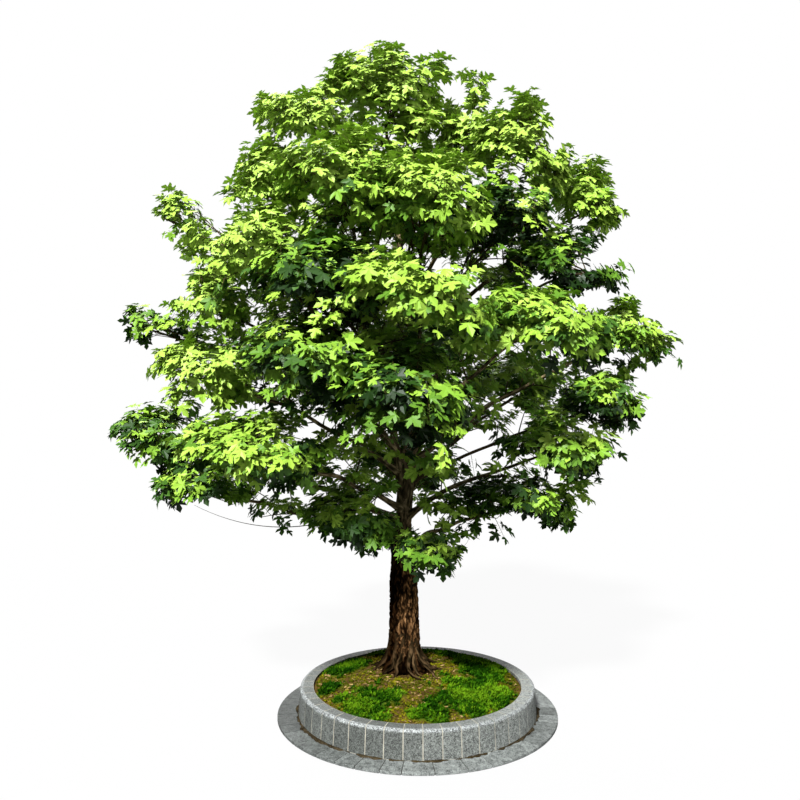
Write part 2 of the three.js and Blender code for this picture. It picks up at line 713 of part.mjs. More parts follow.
MASSES.forEach((mass, index) => {
  const stem = stems.get(mass);
  const otherStems = MASSES.filter((other) => other !== mass).flatMap((other) => stemSamples.get(other));
  const shoots = growMass(mass, stem, [...limbSamples, ...otherStems], seededRandom(SEED + index));
  const foliage = wasm.Manifold.union([
    stem.parent ? cutFromParent(stemGeometry(stem), stem.parent) : solidOf(stemGeometry(stem)),
    ...shoots.map((shoot) => solidOf(leafGeometry(shoot))),
  ]);
  tree.add(piece(`foliage_${mass.name}`, geometryOf(mainBody(foliage)), LEAF));
});

const planeTree = new THREE.Group();
planeTree.add(planter, tree);
planeTree.updateMatrixWorld(true);

export default planeTree;
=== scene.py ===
"""A young plane tree in a round stone planter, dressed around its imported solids.

Metres, +Z up, the front towards -Y. The limbs and the masses of foliage follow the rule of the part's
source, and the foliage carries that rule on to fine shoots and single leaves.
"""

import functools
import json
import math
from collections import namedtuple

import bmesh
import bpy
import numpy as np
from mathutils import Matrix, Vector, noise

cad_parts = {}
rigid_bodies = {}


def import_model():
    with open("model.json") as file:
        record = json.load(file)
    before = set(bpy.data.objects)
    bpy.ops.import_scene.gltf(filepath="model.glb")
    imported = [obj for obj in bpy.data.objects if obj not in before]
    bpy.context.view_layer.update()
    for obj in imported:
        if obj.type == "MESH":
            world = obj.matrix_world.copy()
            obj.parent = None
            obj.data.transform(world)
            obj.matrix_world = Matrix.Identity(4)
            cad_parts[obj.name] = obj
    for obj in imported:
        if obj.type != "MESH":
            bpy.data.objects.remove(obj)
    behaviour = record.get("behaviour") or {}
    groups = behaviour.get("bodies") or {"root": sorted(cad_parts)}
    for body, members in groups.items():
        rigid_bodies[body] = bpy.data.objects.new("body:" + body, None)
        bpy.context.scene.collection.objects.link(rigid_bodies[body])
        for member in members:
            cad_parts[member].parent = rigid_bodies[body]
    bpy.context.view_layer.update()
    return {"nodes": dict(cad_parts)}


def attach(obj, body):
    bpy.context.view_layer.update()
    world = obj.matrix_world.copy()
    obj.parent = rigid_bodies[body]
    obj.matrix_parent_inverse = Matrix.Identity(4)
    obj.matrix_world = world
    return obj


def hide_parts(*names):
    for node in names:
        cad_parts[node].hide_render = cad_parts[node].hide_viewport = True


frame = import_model()

UP = np.array([0.0, 0.0, 1.0])
RIGHT = np.array([1.0, 0.0, 0.0])
SEED = 4127
GOLDEN_ANGLE = math.pi * (3 - math.sqrt(5))
GOLDEN_PART = (math.sqrt(5) - 1) / 2
NEARLY_IN_LINE = 0.95
SMALL_SHARE = 0.004
HALVINGS = 30
MERGE_DISTANCE = 0.0001
BUMP_DISTANCE = 0.004
SPECKLE_DETAIL = 3.0

# The photograph's view: level, and as far from the planter as its ellipses say
CAMERA_PLACE = (-0.178, -8.21, 3.22)
CAMERA_LENS_MM = 35.64
CAMERA_SENSOR_MM = 36

# Lights: azimuth, 0 at the front and 90 at the right, elevation, strength and softness, angles in degrees
SUNS = {
    "key": (-20, 45, 10.0, 6),
    "low": (45, 14, 1.0, 50),
    "fill": (190, 30, 2.2, 40),
}
SKY_COLOR = (0.94, 0.97, 1.0, 1)
SKY_STRENGTH = 0.09
FLOOR_HALF_WIDTH = 60
FLOOR_COLOR = (0.2, 0.2, 0.2)
FLOOR_GLOW = 1.05
FLOOR_GLOW_SHARE = 0.90

# Kerb
KERB_STONES = 43
KERB_PHASE = math.radians(-88.8)
KERB_JOINT = 0.009
KERB_FOOT_RADIUS = 1.220
KERB_RIM_RADIUS = 1.202
KERB_INNER_RADIUS = 1.068
KERB_TOP = 0.300
KERB_TOP_VARIES = 0.0003
KERB_ROUNDING = 0.024
KERB_TONE_VARIES = 0.4
# Stones toward this heading, the right front, get painted light: paler, up to the light tone
KERB_PAINTED_LIGHT_TOWARD = -20
ROUNDING_SEGMENTS = 4
STONE_ARRIS = 0.004
STONE_CUTS = 2
SHARP_EDGE = math.radians(25)
MORTAR_RECESS = 0.001
MORTAR_BELOW_TOP = 0.0008
# Where the painted highlight on the kerb's rounded edge starts and is full, in roundings in from the rim and
# down from the top
HIGHLIGHT_FROM_RIM = (1.6, 0.8)
HIGHLIGHT_FROM_TOP = (1.5, 0.7)

# Paving
PAVING_SLABS = 40
PAVING_SLAB_VARIES = 0.3
PAVING_JOINT = 0.008
PAVING_JOINT_RECESS = 0.012
PAVING_JOINT_BELOW_TOP = 0.004
PAVING_JOINT_ABOVE_GROUND = 0.001
# Painted light on the slabs toward the front and painted shade on those toward the left: headings in degrees
PAVING_PAINTED_LIGHT_TOWARD = -80
PAVING_PAINTED_SHADE_TOWARD = 180
PAVING_RADIUS = 1.432
PAVING_TOP = 0.030
TONE_PATCH = 50

# Dirt at the kerb's foot; its height and its spread are in shares of its width
DIRT_WIDTH = 0.022
DIRT_UNDER_KERB = 0.01
DIRT_UNDER_PAVING = 0.002
DIRT_SHOULDER = 0.3
DIRT_UP_KERB = 0.6
DIRT_SPREAD = 2
# Layers of its ragged edge: scale and amount
DIRT_RIPPLES = ((24.0, 0.6), (7.0, 0.8))

# Earth
SOIL_EDGE = 0.270
SOIL_SEAT = 0.400
SOIL_SEAT_RADIUS = 0.480
SOIL_GAP = 0.001
SOIL_RINGS = 56
SOIL_STEPS = 180
SOIL_LUMP = 0.016
SOIL_EVEN_EDGE = 0.1
# Layers of its lumps: scale, place in the noise and amount
SOIL_LUMPS = ((9, 1.1, 1.0), (31, 4.1, 0.5))

# Patches of moss on the earth: right, back and half width
MOSS_PATCHES = [
    (-0.50, -0.66, 0.30), (-0.76, 0.24, 0.24), (0.56, -0.52, 0.40), (0.70, 0.12, 0.26), (0.66, 0.50, 0.27),
    (0.10, -0.86, 0.20), (-0.30, 0.72, 0.22), (0.25, 0.80, 0.20), (-0.88, -0.28, 0.14),
]
# Layers of the patches' ragged edges: scale, place in the noise and amount
MOSS_RAGGED = ((6, 0.3, 0.5), (17, 2.3, 0.35))
MOSS_ENDS_AT = 1.35
MOSS_FULL_AT = 0.65
MOSS_SWELL = 0.018
MOSS_TUFTS = 9000
MOSS_FROM_KERB = 0.03
MOSS_FROM_TRUNK = 0.3
MOSS_SUNK = 0.004
MOSS_GREEN_FROM = 0.35
MOSS_GREEN_VARIES = 0.4
MOSS_TONE_SCALE = 5.0
MOSS_TONE_PLACE = 0.7
MOSS_TONE_PATCHES = 0.9
MOSS_TONE_VARIES = 0.7
MOSS_BLADES = 4
MOSS_BLADE_HEIGHT = 0.034
MOSS_BLADE_WIDTH = 0.018
MOSS_BLADE_WIDEST_AT = 0.55
MOSS_BLADE_SHORTEST = 0.5
MOSS_BLADE_VARIES = 0.7
MOSS_BLADE_LEAN = 1.3
MOSS_LEAN_LEAST = 0.3
MOSS_LEAN_VARIES = 0.7
THIN_MOSS_HEIGHT = 0.5
LOW_MOSS_HEIGHT = 0.5
LOW_MOSS_SHARE = 0.6

# Litter
LITTER_FLAKES = 1100
LITTER_FROM_KERB = 0.05
LITTER_FROM_TRUNK = 0.2
LITTER_UP_TO_MOSS = 0.5
LITTER_ABOVE_EARTH = 0.006
LITTER_LENGTH = 0.05
LITTER_SHORTEST = 0.4
LITTER_NARROWEST = 0.15
LITTER_WIDTH_VARIES = 0.25
LITTER_TILT = 0.3
LITTER_ROLL = 0.4

# Trunk
TRUNK_RIGHT = -0.136
TRUNK_BACK = 0.130
TRUNK_FOOT = np.array([TRUNK_RIGHT, TRUNK_BACK, 0.0])
TRUNK_TIP = 6.000
TRUNK_SWAY_RIGHT = [0, 0, -0.015, 0.050, 0.120, 0.070, -0.010, -0.100, -0.180]
TRUNK_SWAY_BACK = [0, 0, 0.005, 0.030, 0.060, 0.075, 0.080, 0.080, 0.080]
TRUNK_GIRTH = [
    (SOIL_SEAT, 0.172), (0.870, 0.160), (1.320, 0.150), (1.570, 0.122), (1.870, 0.096),
    (2.170, 0.082), (2.570, 0.062), (3.970, 0.042), (TRUNK_TIP, 0.018),
]
TRUNK_SIDES = 112
TRUNK_RINGS = 210
TRUNK_RING_CROWDING = 1.7
# Swells of the root flare: heading in degrees and reach
ROOTS = [(-95, 0.130), (-40, 0.260), (15, 0.190), (80, 0.120), (150, 0.170), (215, 0.190)]
ROOT_HALF_WIDTH = 24
ROOT_FALL = 0.120
FLARE_SHARE = 0.6
# Root strands that run down the flare and out over the earth: heading and reach from the trunk's axis
ROOT_STRANDS = [
    (-102, 0.36), (-70, 0.53), (-54, 0.42), (-40, 0.56), (-15, 0.44), (25, 0.42), (75, 0.34), (120, 0.36),
    (172, 0.40), (200, 0.38), (232, 0.36),
]
STRAND_FROM = 0.80
STRAND_FROM_AXIS = 0.120
STRAND_SWAY = 16
STRAND_SWAYS = 3
STRAND_SWAY_PLACE = 0.7
STRAND_RADIUS = 0.044
STRAND_TIP_RADIUS = 0.010
STRAND_ABOVE_EARTH = 0.014
STRAND_DIP = 0.03
STRAND_OUT_POWER = 1.6
STRAND_FALL_POWER = 2.2
STRAND_DIP_POWER = 6
STRAND_SIDES = 10
STRAND_RINGS = 26
STRAND_YOUTH = 0.35
# Painted shade on the root strands, and less of it on those toward a heading, the right front, as painted
# light
STRAND_SHADE = 0.92
LIT_STRAND_SHADE = 0.72
STRAND_LIT_TOWARD = -40

# Painted shade on the trunk's left side and on its foot: headings and widths in degrees
PAINTED_SHADE_TOWARD = 205
PAINTED_SHADE_HALF_WIDTH = 54
PAINTED_SHADE_EDGE_POWER = 4
PAINTED_SHADE_RAGGED = 22
PAINTED_SHADE_RAGGED_AROUND = 3
PAINTED_SHADE_RAGGED_UP = 5
PAINTED_SHADE_FOOT_HEIGHT = 0.46

# Bark relief: cracks run up the limb and close as it gets younger
CRACK_DEPTH = 0.020
CRACK_DEPTH_OF_GIRTH = 0.25
YOUNG_CRACK_OF_GIRTH = 0.04
CRACK_WIDTH = 0.18
CRACKS_PER_METRE = 32
CRACK_STRETCH = 0.13
CRACK_SWAYS_PER_METRE = 7.0
FINE_CRACK_SCALE = 2.1
FINE_CRACK_PLACE = Vector((7.1, 3.3, 1.7))
FINE_CRACK_DEPTH = 0.45
OLD_BARK_UP_TO = 1.35
YOUNG_BARK_FROM = 2.3

# Boughs, and the stems inside the masses
BOUGH_SIDES = 20
BOUGH_RING_STEP = 0.045
BOUGH_TIP_RADIUS = 0.014
BOUGH_BASE_RADIUS = 0.021
BOUGH_RADIUS_PER_LENGTH = 0.008
BOUGH_SHARE_OF_PARENT = 0.66
BOUGH_ENTERS_AT = 0.5
BOUGH_DROP = 0.3
BEND_SHARE = 0.42
BEND_RISE = 0.62
LIMB_SWAY = 0.05
LIMB_SWAYS = 4.0
SWAY_SCALE = 3.0
# Places in the noise, far apart, for the sway to the right, back and up
SWAY_PLACES = ((0.0, 0.0, 0.0), (17.3, 5.1, 9.7), (31.9, 23.3, 2.9))
TAPER_POWER = 0.8
COLLAR_SWELL = 0.7
COLLAR_LENGTH = 0.07
LEADER_BASE_RADIUS = 0.052
LEADER_FROM = 2.050
LEADER_BEND = (-0.170, 0.020, 3.470)
STEM_TIP_RADIUS = 0.011
STEM_REACH = 0.5
STEM_BEND = 0.5
STEM_SIDES = 7
STEM_STEPS = 16

# Twigs of the masses
TWIGS_FROM = 0.3
TWIGS_PER_MASS = 17
USUAL_SIZE = 0.55
LOOSE_SPREAD = 0.3
TWIG_LOWEST = -0.75
TWIG_HIGHEST = 0.98
TWIG_RISE_VARIES = 0.2
TWIG_TURN_VARIES = 0.7
TWIG_REACH = 0.8
TWIG_REACH_VARIES = 0.3
TWIG_ARCH = 0.1
TWIG_KEPT = 0.5
TWIG_RADIUS = 0.0075
TWIG_TIP_RADIUS = 0.0035
TWIG_SIDES = 4
TWIG_STEPS = 5

# Shoots: where they leave a twig, in shares of its length, and how they grow
SHOOTS_AT = (0.42, 0.56, 0.68, 0.78, 0.86, 0.92, 0.97, 1.0)
SHOOT_LOOKS_BACK = 0.1
SHOOT_LENGTH = 0.24
SHOOT_LENGTH_VARIES = 0.4
SHOOT_RADIUS = 0.0034
SHOOT_TIP_RADIUS = 0.0016
SHOOT_SIDES = 3
SHOOT_STEPS = 2
SHOOT_BEND = 0.45
SHOOT_SAG = 0.05
SHOOT_ALONG = 0.6
SHOOT_SPREAD = 0.9
SHOOT_SPREAD_LEAST = 0.7
SHOOT_SPREAD_VARIES = 0.6
SHOOT_RISE = 0.5

# The space of a mass that its shoots keep to, so that their leaves fill it
SPACE_OVERRUN = 1.14
HEIGHT_OVERRUN = 1.13
LEAF_PAST_SHOOT = 0.145
LEAF_ABOVE_SHOOT = 0.06
RAGGED = 0.26
LOW_SIDE_HELD = 0.16
CROWN_FRONT = -2.36

# Leaves on a shoot
LEAVES_PER_SHOOT = 7
LEAVES_FROM = 0.2
LEAF_PLACE_VARIES = 0.5
LEAF_ALONG = 0.45
LEAF_TURN = 0.75
LEAF_TURN_VARIES = 0.4
LEAF_RISE = 0.1
LEAF_RISE_VARIES = 0.35
LEAF_LENGTH = 0.099
LEAF_LENGTH_VARIES = 0.3
LEAF_FACE_OUT = 0.85
LEAF_FACE_TO_LIGHT = 0.2
LEAF_FACE_VARIES = 0.75
LEAF_DROOP = 0.35
LEAF_DROOP_LEAST = 0.4
STALK_SHARE = 0.5
STALK_HALF_WIDTH = 0.0014

# One leaf of length 1: half its lobed outline, its tip, where its veins meet, and its forms' fold and droop
LEAF_HALF_OUTLINE = [(0.42, -0.06), (0.24, 0.15), (0.53, 0.28), (0.67, 0.61), (0.15, 0.46), (0.26, 0.76)]
LEAF_TIP = 1.06
LEAF_VEINS_MEET = 0.10
LEAF_MIDDLE_RISE = 0.03
LEAF_NOTCH_REACH = 0.45
LEAF_NOTCH_DIP = 0.035
LEAF_FORMS = ((0.18, 0.2), (0.28, 0.34), (0.08, 0.12), (0.2, 0.5))

# Shorter twigs along the limbs, inside the crown
INNER_TWIGS_FROM = 0.35
INNER_TWIGS_UP_TO = 0.85
INNER_TWIG_STEP = 0.14
INNER_TWIG_LENGTH = 0.48
INNER_TWIG_LEAST = 0.7
INNER_TWIG_VARIES = 0.6
INNER_TWIG_ALONG = 0.5
INNER_TWIG_RISE = 0.25
INNER_SHOOTS_AT = (0.55, 0.8, 0.95, 1.0)
INNER_SPACE_DROP = 0.15
INNER_SPACE_ROOM = 0.2
TRUNK_TWIGS_FROM = 0.42
TRUNK_TWIG_STEP = 0.075
TRUNK_TWIG_LENGTH = 0.62
BACK_FROM = 0.7
BACK_TWIG_STEP = 0.085
BACK_TWIG_LENGTH = 0.72
LOW_LIMBS_UP_TO = 2.7
LOW_TWIG_RISE = 0.8

# Sky seen through the crown from the front: right, up, half width and half height in the trunk's plane
OPENINGS = [
    (0.64, 2.73, 0.23, 0.28), (-1.05, 2.95, 0.20, 0.14), (0.49, 6.36, 0.10, 0.26), (0.09, 1.89, 0.13, 0.12),
    (-0.49, 2.01, 0.05, 0.06), (0.16, 4.67, 0.19, 0.16), (0.63, 4.35, 0.20, 0.17), (0.80, 4.65, 0.10, 0.10),
    (1.28, 4.48, 0.15, 0.09), (1.70, 4.62, 0.20, 0.17), (1.88, 4.28, 0.22, 0.18), (1.71, 5.11, 0.11, 0.10),
    (0.54, 5.26, 0.14, 0.09), (1.10, 5.33, 0.09, 0.08), (0.93, 3.21, 0.14, 0.10), (1.47, 3.24, 0.12, 0.11),
    (1.09, 2.96, 0.15, 0.12), (1.84, 3.01, 0.14, 0.09), (-1.57, 3.43, 0.12, 0.09), (-0.60, 1.84, 0.06, 0.05),
    (-1.38, 6.69, 0.42, 0.28), (1.10, 1.94, 0.22, 0.12), (0.25, 1.28, 0.40, 0.16), (-1.28, 1.70, 0.46, 0.16),
    (-2.08, 5.10, 0.22, 0.20), (-1.96, 5.70, 0.14, 0.13), (-2.47, 4.40, 0.20, 0.14), (2.02, 4.72, 0.20, 0.09),
    (-2.28, 2.06, 0.30, 0.11), (1.42, 5.94, 0.17, 0.17), (1.43, 6.36, 0.20, 0.22), (1.95, 2.54, 0.12, 0.10),
    (2.40, 4.18, 0.14, 0.12), (-0.07, 6.88, 0.10, 0.12), (-0.15, 2.10, 0.075, 0.36), (2.36, 3.70, 0.10, 0.08),
    (-1.04, 1.52, 0.26, 0.17), (-3.12, 3.12, 0.16, 0.10), (0.98, 1.64, 0.18, 0.16), (-1.92, 6.05, 0.16, 0.18),
    (-2.55, 3.86, 0.12, 0.12), (1.38, 1.84, 0.16, 0.08),
]

# Sprigs that stand out of the crown: the mass, and its tip's right and up
SPRIGS = [
    ("top_peak", 0.18, 6.72), ("top_peak", -0.74, 6.74), ("top_peak", -0.28, 6.84), ("top_right", 0.60, 6.46),
    ("upper_right", 1.18, 6.20), ("right_tip", 2.56, 3.80), ("right_shoulder", 1.93, 5.30),
    ("left_low_mid", -2.34, 3.24), ("right_low_plate", 1.50, 2.36), ("bottom_left", -0.62, 2.40),
    ("left_shoulder", -1.84, 5.32), ("top_peak", -0.22, 6.14), ("right_low_fringe", 0.40, 2.10),
    ("left_low_fringe", -1.30, 2.06), ("left_low_mid", -1.25, 3.20), ("right_low_fringe", 0.54, 1.98),
    ("right_low_fringe", 0.18, 2.16), ("right_low_fringe", 1.44, 2.17), ("left_mid", -2.34, 4.76),
    ("bottom_left", -0.42, 1.98), ("bottom_left", -0.36, 2.28),
]
SPRIG_FROM = 0.3
SPRIG_SPREAD = 0.20
SPRIG_SHOOTS_AT = (0.62, 0.72, 0.8, 0.87, 0.94, 1.0)

# A thin bare twig under the lowest left bough: where it leaves the bough, and the way to its bend and its end
BARE_TWIG_FROM = 0.45
BARE_TWIG_BEND = (-0.75, -0.05, -0.20)
BARE_TWIG_END = (-1.45, -0.05, 0.16)
BARE_TWIG_RADIUS = 0.006

Mass = namedtuple("Mass", "name centre spread deep joins limb at", defaults=(None,))
TIP = "on the tip of a limb"
BOUGH = "on a bough from a height of a limb"
STEM = "on a stem straight from a height of a limb"

# The masses of foliage: centre from the trunk's foot, half width, half height, and how it joins a limb
MASSES = [
    Mass("top_peak", (-0.17, 0.10, 6.45), 0.64, 0.58, TIP, "trunk"),
    Mass("top_left", (-0.93, 0.00, 6.13), 0.68, 0.54, TIP, "left_leader"),
    Mass("top_right", (0.74, 0.20, 6.18), 0.36, 0.60, STEM, "trunk", 4.87),
    Mass("upper_right", (1.22, -0.20, 5.74), 0.56, 0.62, BOUGH, "trunk", 4.12),
    Mass("right_shoulder", (1.95, 0.15, 5.27), 0.43, 0.48, BOUGH, "trunk", 3.65),
    Mass("left_shoulder", (-1.42, -0.10, 5.45), 0.44, 0.50, BOUGH, "left_leader", 4.22),
    Mass("front_upper_left", (-0.54, -1.15, 5.17), 0.64, 0.50, STEM, "left_leader", 3.92),
    Mass("front_upper_right", (0.23, -1.25, 4.97), 0.62, 0.52, STEM, "trunk", 3.87),
    Mass("right_mid", (1.66, -0.25, 4.50), 0.64, 0.48, BOUGH, "trunk", 3.19),
    Mass("right_inner", (1.08, -0.45, 5.12), 0.46, 0.34, STEM, "trunk", 3.78),
    Mass("left_plate", (-1.45, -0.85, 4.67), 0.64, 0.42, STEM, "left_leader", 3.42),
    Mass("left_mid", (-2.02, -0.10, 4.23), 0.47, 0.48, BOUGH, "left_leader", 3.02),
    Mass("left_high_spray", (-2.40, 0.00, 5.14), 0.27, 0.30, STEM, "left_leader", 3.57),
    Mass("front_left_mid", (-0.73, -1.50, 4.22), 0.60, 0.43, STEM, "trunk", 3.05),
    Mass("front_centre", (0.15, -1.90, 4.03), 0.72, 0.46, BOUGH, "trunk", 2.82),
    Mass("front_right_plate", (1.15, -1.30, 3.82), 0.74, 0.43, BOUGH, "trunk", 2.65),
    Mass("right_tip", (2.28, 0.00, 3.86), 0.46, 0.44, BOUGH, "trunk", 2.51),
    Mass("right_low_mid", (2.12, 0.00, 3.20), 0.44, 0.34, STEM, "trunk", 2.33),
    Mass("left_low_mid", (-2.00, -0.35, 3.47), 0.52, 0.40, BOUGH, "left_leader", 2.45),
    Mass("left_spray", (-2.74, 0.00, 4.02), 0.29, 0.22, STEM, "left_leader", 2.77),
    Mass("front_left_low", (-0.82, -1.60, 3.52), 0.64, 0.42, BOUGH, "left_leader", 2.65),
    Mass("front_low_centre", (0.03, -1.85, 3.22), 0.62, 0.48, STEM, "trunk", 2.15),
    Mass("far_left_low", (-2.55, -0.20, 2.79), 0.47, 0.36, BOUGH, "trunk", 1.93),
    Mass("left_low_plate", (-1.30, -1.30, 2.73), 0.72, 0.36, BOUGH, "trunk", 2.05),
    Mass("left_low_fringe", (-2.00, -0.30, 2.30), 0.56, 0.30, BOUGH, "trunk", 1.73),
    Mass("bottom_left", (-0.54, -0.45, 1.99), 0.50, 0.34, STEM, "trunk", 1.63),
    Mass("bottom_clump", (0.24, -0.80, 1.77), 0.33, 0.26, STEM, "trunk", 1.53),
    Mass("right_low_plate", (1.52, -0.60, 2.73), 0.64, 0.36, BOUGH, "trunk", 1.97),
    Mass("right_low_fringe", (1.18, -0.25, 2.14), 0.64, 0.30, BOUGH, "trunk", 1.65),
    Mass("back_top", (0.15, 1.05, 5.62), 0.78, 0.62, STEM, "trunk", 4.47),
    Mass("back_left_high", (-1.05, 1.15, 4.77), 0.72, 0.52, STEM, "left_leader", 3.72),
    Mass("back_right_high", (1.30, 1.25, 4.47), 0.72, 0.52, BOUGH, "trunk", 3.37),
    Mass("back_mid", (0.05, 2.00, 3.87), 0.76, 0.52, STEM, "trunk", 2.73),
    Mass("back_left_low", (-1.35, 1.50, 3.52), 0.74, 0.48, BOUGH, "trunk", 2.57),
    Mass("back_right_low", (1.50, 1.55, 3.32), 0.74, 0.46, BOUGH, "trunk", 2.27),
    Mass("back_low", (0.00, 1.50, 2.42), 0.70, 0.38, STEM, "trunk", 1.82),
]
MASSES = [mass._replace(centre=TRUNK_FOOT + mass.centre) for mass in MASSES]

# Painted light and shade on the sprays, dealt out as their leaves' base colours: what counts towards it, and
# masses painted lighter or darker than their place says
CROWN_MIDDLE = TRUNK_FOOT + np.array([-0.1, 0.0, 3.9])
CROWN_HALF_SIZES = np.array([2.9, 2.6, 3.1])
LIGHT_HIGH_IN_MASS = 0.34
LIGHT_FAR_OUT = 0.27
LIGHT_HIGH_IN_CROWN = 0.42
LIGHT_VARIES = 0.40
PAINTED_LIGHT_SHIFTS = {
    "top_peak": 0.38, "top_left": 0.13, "top_right": 0.17, "upper_right": 0.15, "left_shoulder": 0.25,
    "left_plate": 0.29, "left_mid": 0.23, "left_low_mid": 0.30, "right_low_fringe": -0.08,
    "bottom_clump": -0.08, "right_mid": -0.27, "right_inner": -0.27, "right_low_mid": -0.13,
    "front_left_mid": -0.27, "front_left_low": -0.21, "front_low_centre": -0.22, "front_right_plate": -0.07,
    "left_spray": -0.20, "far_left_low": -0.14, "left_low_fringe": -0.10, "left_high_spray": -0.16,
    "left_low_plate": -0.05,
}

# Leaf tones from deep shade to full sun, with light and shade painted into their base colours, and the
# painted light from which each later one is dealt out
LEAF_TONES = {
    "shade": (0.006, 0.021, 0.002),
    "deep": (0.014, 0.044, 0.004),
    "dull": (0.034, 0.092, 0.008),
    "mid": (0.072, 0.165, 0.012),
    "fresh": (0.130, 0.258, 0.020),
    "light": (0.190, 0.335, 0.030),
    "bright": (0.240, 0.393, 0.041),
    "sun": (0.278, 0.424, 0.060),
}
TONE_STEPS = (0.27, 0.36, 0.43, 0.49, 0.55, 0.63, 0.75)
LEAF_ROUGHNESS = 0.5
LEAF_SPECULAR = 0.24

# Other finishes: plain colours, and ramps with their stops
BARK = (0.1, 0.07, 0.045)
OLD_BARK = [
    (0.0, (0.004, 0.002, 0.001)), (0.45, (0.028, 0.015, 0.006)), (0.8, (0.115, 0.057, 0.022)),
    (1.0, (0.230, 0.126, 0.056)),
]
YOUNG_BARK = [(0.0, (0.026, 0.021, 0.010)), (0.5, (0.090, 0.072, 0.034)), (1.0, (0.250, 0.200, 0.110))]
# Painted shade: the colour that darkens the trunk's side and foot and the root strands
PAINTED_SHADE_BARK = (0.07, 0.06, 0.05, 1)
TWIG_BARK = (0.055, 0.042, 0.022)
SHOOT_BARK = (0.085, 0.080, 0.025)
DARK_GRANITE = (0.046, 0.051, 0.046)
LIGHT_GRANITE = (0.145, 0.156, 0.146)
DARK_PAVING = (0.029, 0.033, 0.030)
LIGHT_PAVING = (0.140, 0.152, 0.145)
# Painted highlight on the kerb's rounded upper edge
PAINTED_EDGE_HIGHLIGHT = (0.165, 0.177, 0.174, 1)
MORTAR = (0.285, 0.270, 0.220)
JOINT_SAND = (0.045, 0.045, 0.040)
DIRT = (0.030, 0.023, 0.013)
EARTH = (0.1, 0.08, 0.04)
EARTH_TO_MOSS = [
    (0.0, (0.060, 0.038, 0.010)), (0.25, (0.055, 0.044, 0.007)), (0.5, (0.045, 0.050, 0.004)),
    (0.75, (0.028, 0.054, 0.004)), (1.0, (0.012, 0.038, 0.003)),
]
GREEN_MOSS = {
    "moss_deep": (0.006, 0.027, 0.001),
    "moss": (0.024, 0.074, 0.002),
    "moss_light": (0.064, 0.138, 0.004),
}
OLIVE_MOSS = {"moss_olive": (0.044, 0.054, 0.002), "moss_yellow": (0.104, 0.098, 0.004)}
LITTER = {"litter_tan": (0.25, 0.170, 0.068), "litter_brown": (0.080, 0.048, 0.019)}


def lerp(start, end, share):
    return start + (end - start) * share


def smooth_step(low, high, value):
    share = min(max((value - low) / (high - low), 0.0), 1.0)
    return share * share * (3 - 2 * share)


def unit(vector):
    return vector / np.linalg.norm(vector)


def between(pairs, x):
    return float(np.interp(x, [pair[0] for pair in pairs], [pair[1] for pair in pairs]))


def degrees_apart(heading, toward):
    return (heading - toward + 180) % 360 - 180


def nearness(heading, toward):
    """How near a heading is to another, from 1 on it to 0 far from it; both in degrees."""
    return math.exp(-((degrees_apart(heading, toward) / TONE_PATCH) ** 2))


def even_shares(steps):
    return [step / steps for step in range(steps + 1)]


def sampled(curve, steps, up_to=1.0):
    """What a curve gives at even steps from its start up to a share of it."""
    return np.array([curve(up_to * step / steps) for step in range(steps + 1)])


def across_of(along):
    """The level direction square to another, or the right where that one stands upright."""
    across = np.cross(along, UP)
    return unit(across) if np.linalg.norm(across) > SMALL_SHARE else RIGHT


def seeded_random(seed):
    """Numbers between 0 and 1 that repeat for the same seed, as in the part's source."""
    whole = 0xFFFFFFFF
    state = seed

    def draw():
        nonlocal state
        state = (state + 0x6D2B79F5) & whole
        mixed = ((state ^ (state >> 15)) * (state | 1)) & whole
        mixed ^= (mixed + (mixed ^ (mixed >> 7)) * (mixed | 61)) & whole
        return (mixed ^ (mixed >> 14)) / (whole + 1)

    return draw


def varied(amount, draw):
    """A factor around 1 that varies by an amount to each side."""
    return 1 + amount * (draw() - 0.5) * 2


def turn_of(number, draw):
    """The turn of one twig or shoot of a row round its stem: a golden angle on from the last, and loose."""
    return number * GOLDEN_ANGLE + TWIG_TURN_VARIES * (draw() - 0.5)


def sideways_of(along, number, draw):
    """The direction square to a stem in which one twig or shoot of a row leaves it."""
    across = across_of(along)
    turn = turn_of(number, draw)
    return across * math.cos(turn) + np.cross(across, along) * math.sin(turn)


# Limbs
class Limb:
    """A tapering limb: its axis and its radius, by the share of the way along it."""

    def __init__(self, axis, radius, parent=None):
        self.axis = axis
        self.radius = radius
        self.parent = parent

    def heading(self, share):
        low = max(share - SMALL_SHARE, 0.0)
        high = min(share + SMALL_SHARE, 1.0)
        return unit(self.axis(high) - self.axis(low))

    def share_at(self, height):
        low, high = 0.0, 1.0
        for _ in range(HALVINGS):
            middle = (low + high) / 2
            if self.axis(middle)[2] < height:
                low = middle
            else:
                high = middle
        return low

    def length(self):
        points = sampled(self.axis, STEM_STEPS)
        return float(np.linalg.norm(np.diff(points, axis=0), axis=1).sum())


def bent_axis(start, bend, end):
    return lambda share: (1 - share) ** 2 * start + 2 * (1 - share) * share * bend + share**2 * end


def rising_axis(start, end):
    """Bent once, rising before it spreads, with a slight sway that is most half-way between its ends."""
    bend = lerp(start, end, BEND_SHARE)
    bend[2] = lerp(start[2], end[2], BEND_RISE)
    plain = bent_axis(start, bend, end)

    def swaying(share):
        place = Vector(end) * SWAY_SCALE + Vector((0, 0, share * LIMB_SWAYS))
        sway = np.array([noise.noise(place + Vector(apart)) for apart in SWAY_PLACES])
        return plain(share) + sway * LIMB_SWAY * 4 * share * (1 - share)

    return swaying


def taper(base, tip):
    return lambda share: lerp(base, tip, share**TAPER_POWER)


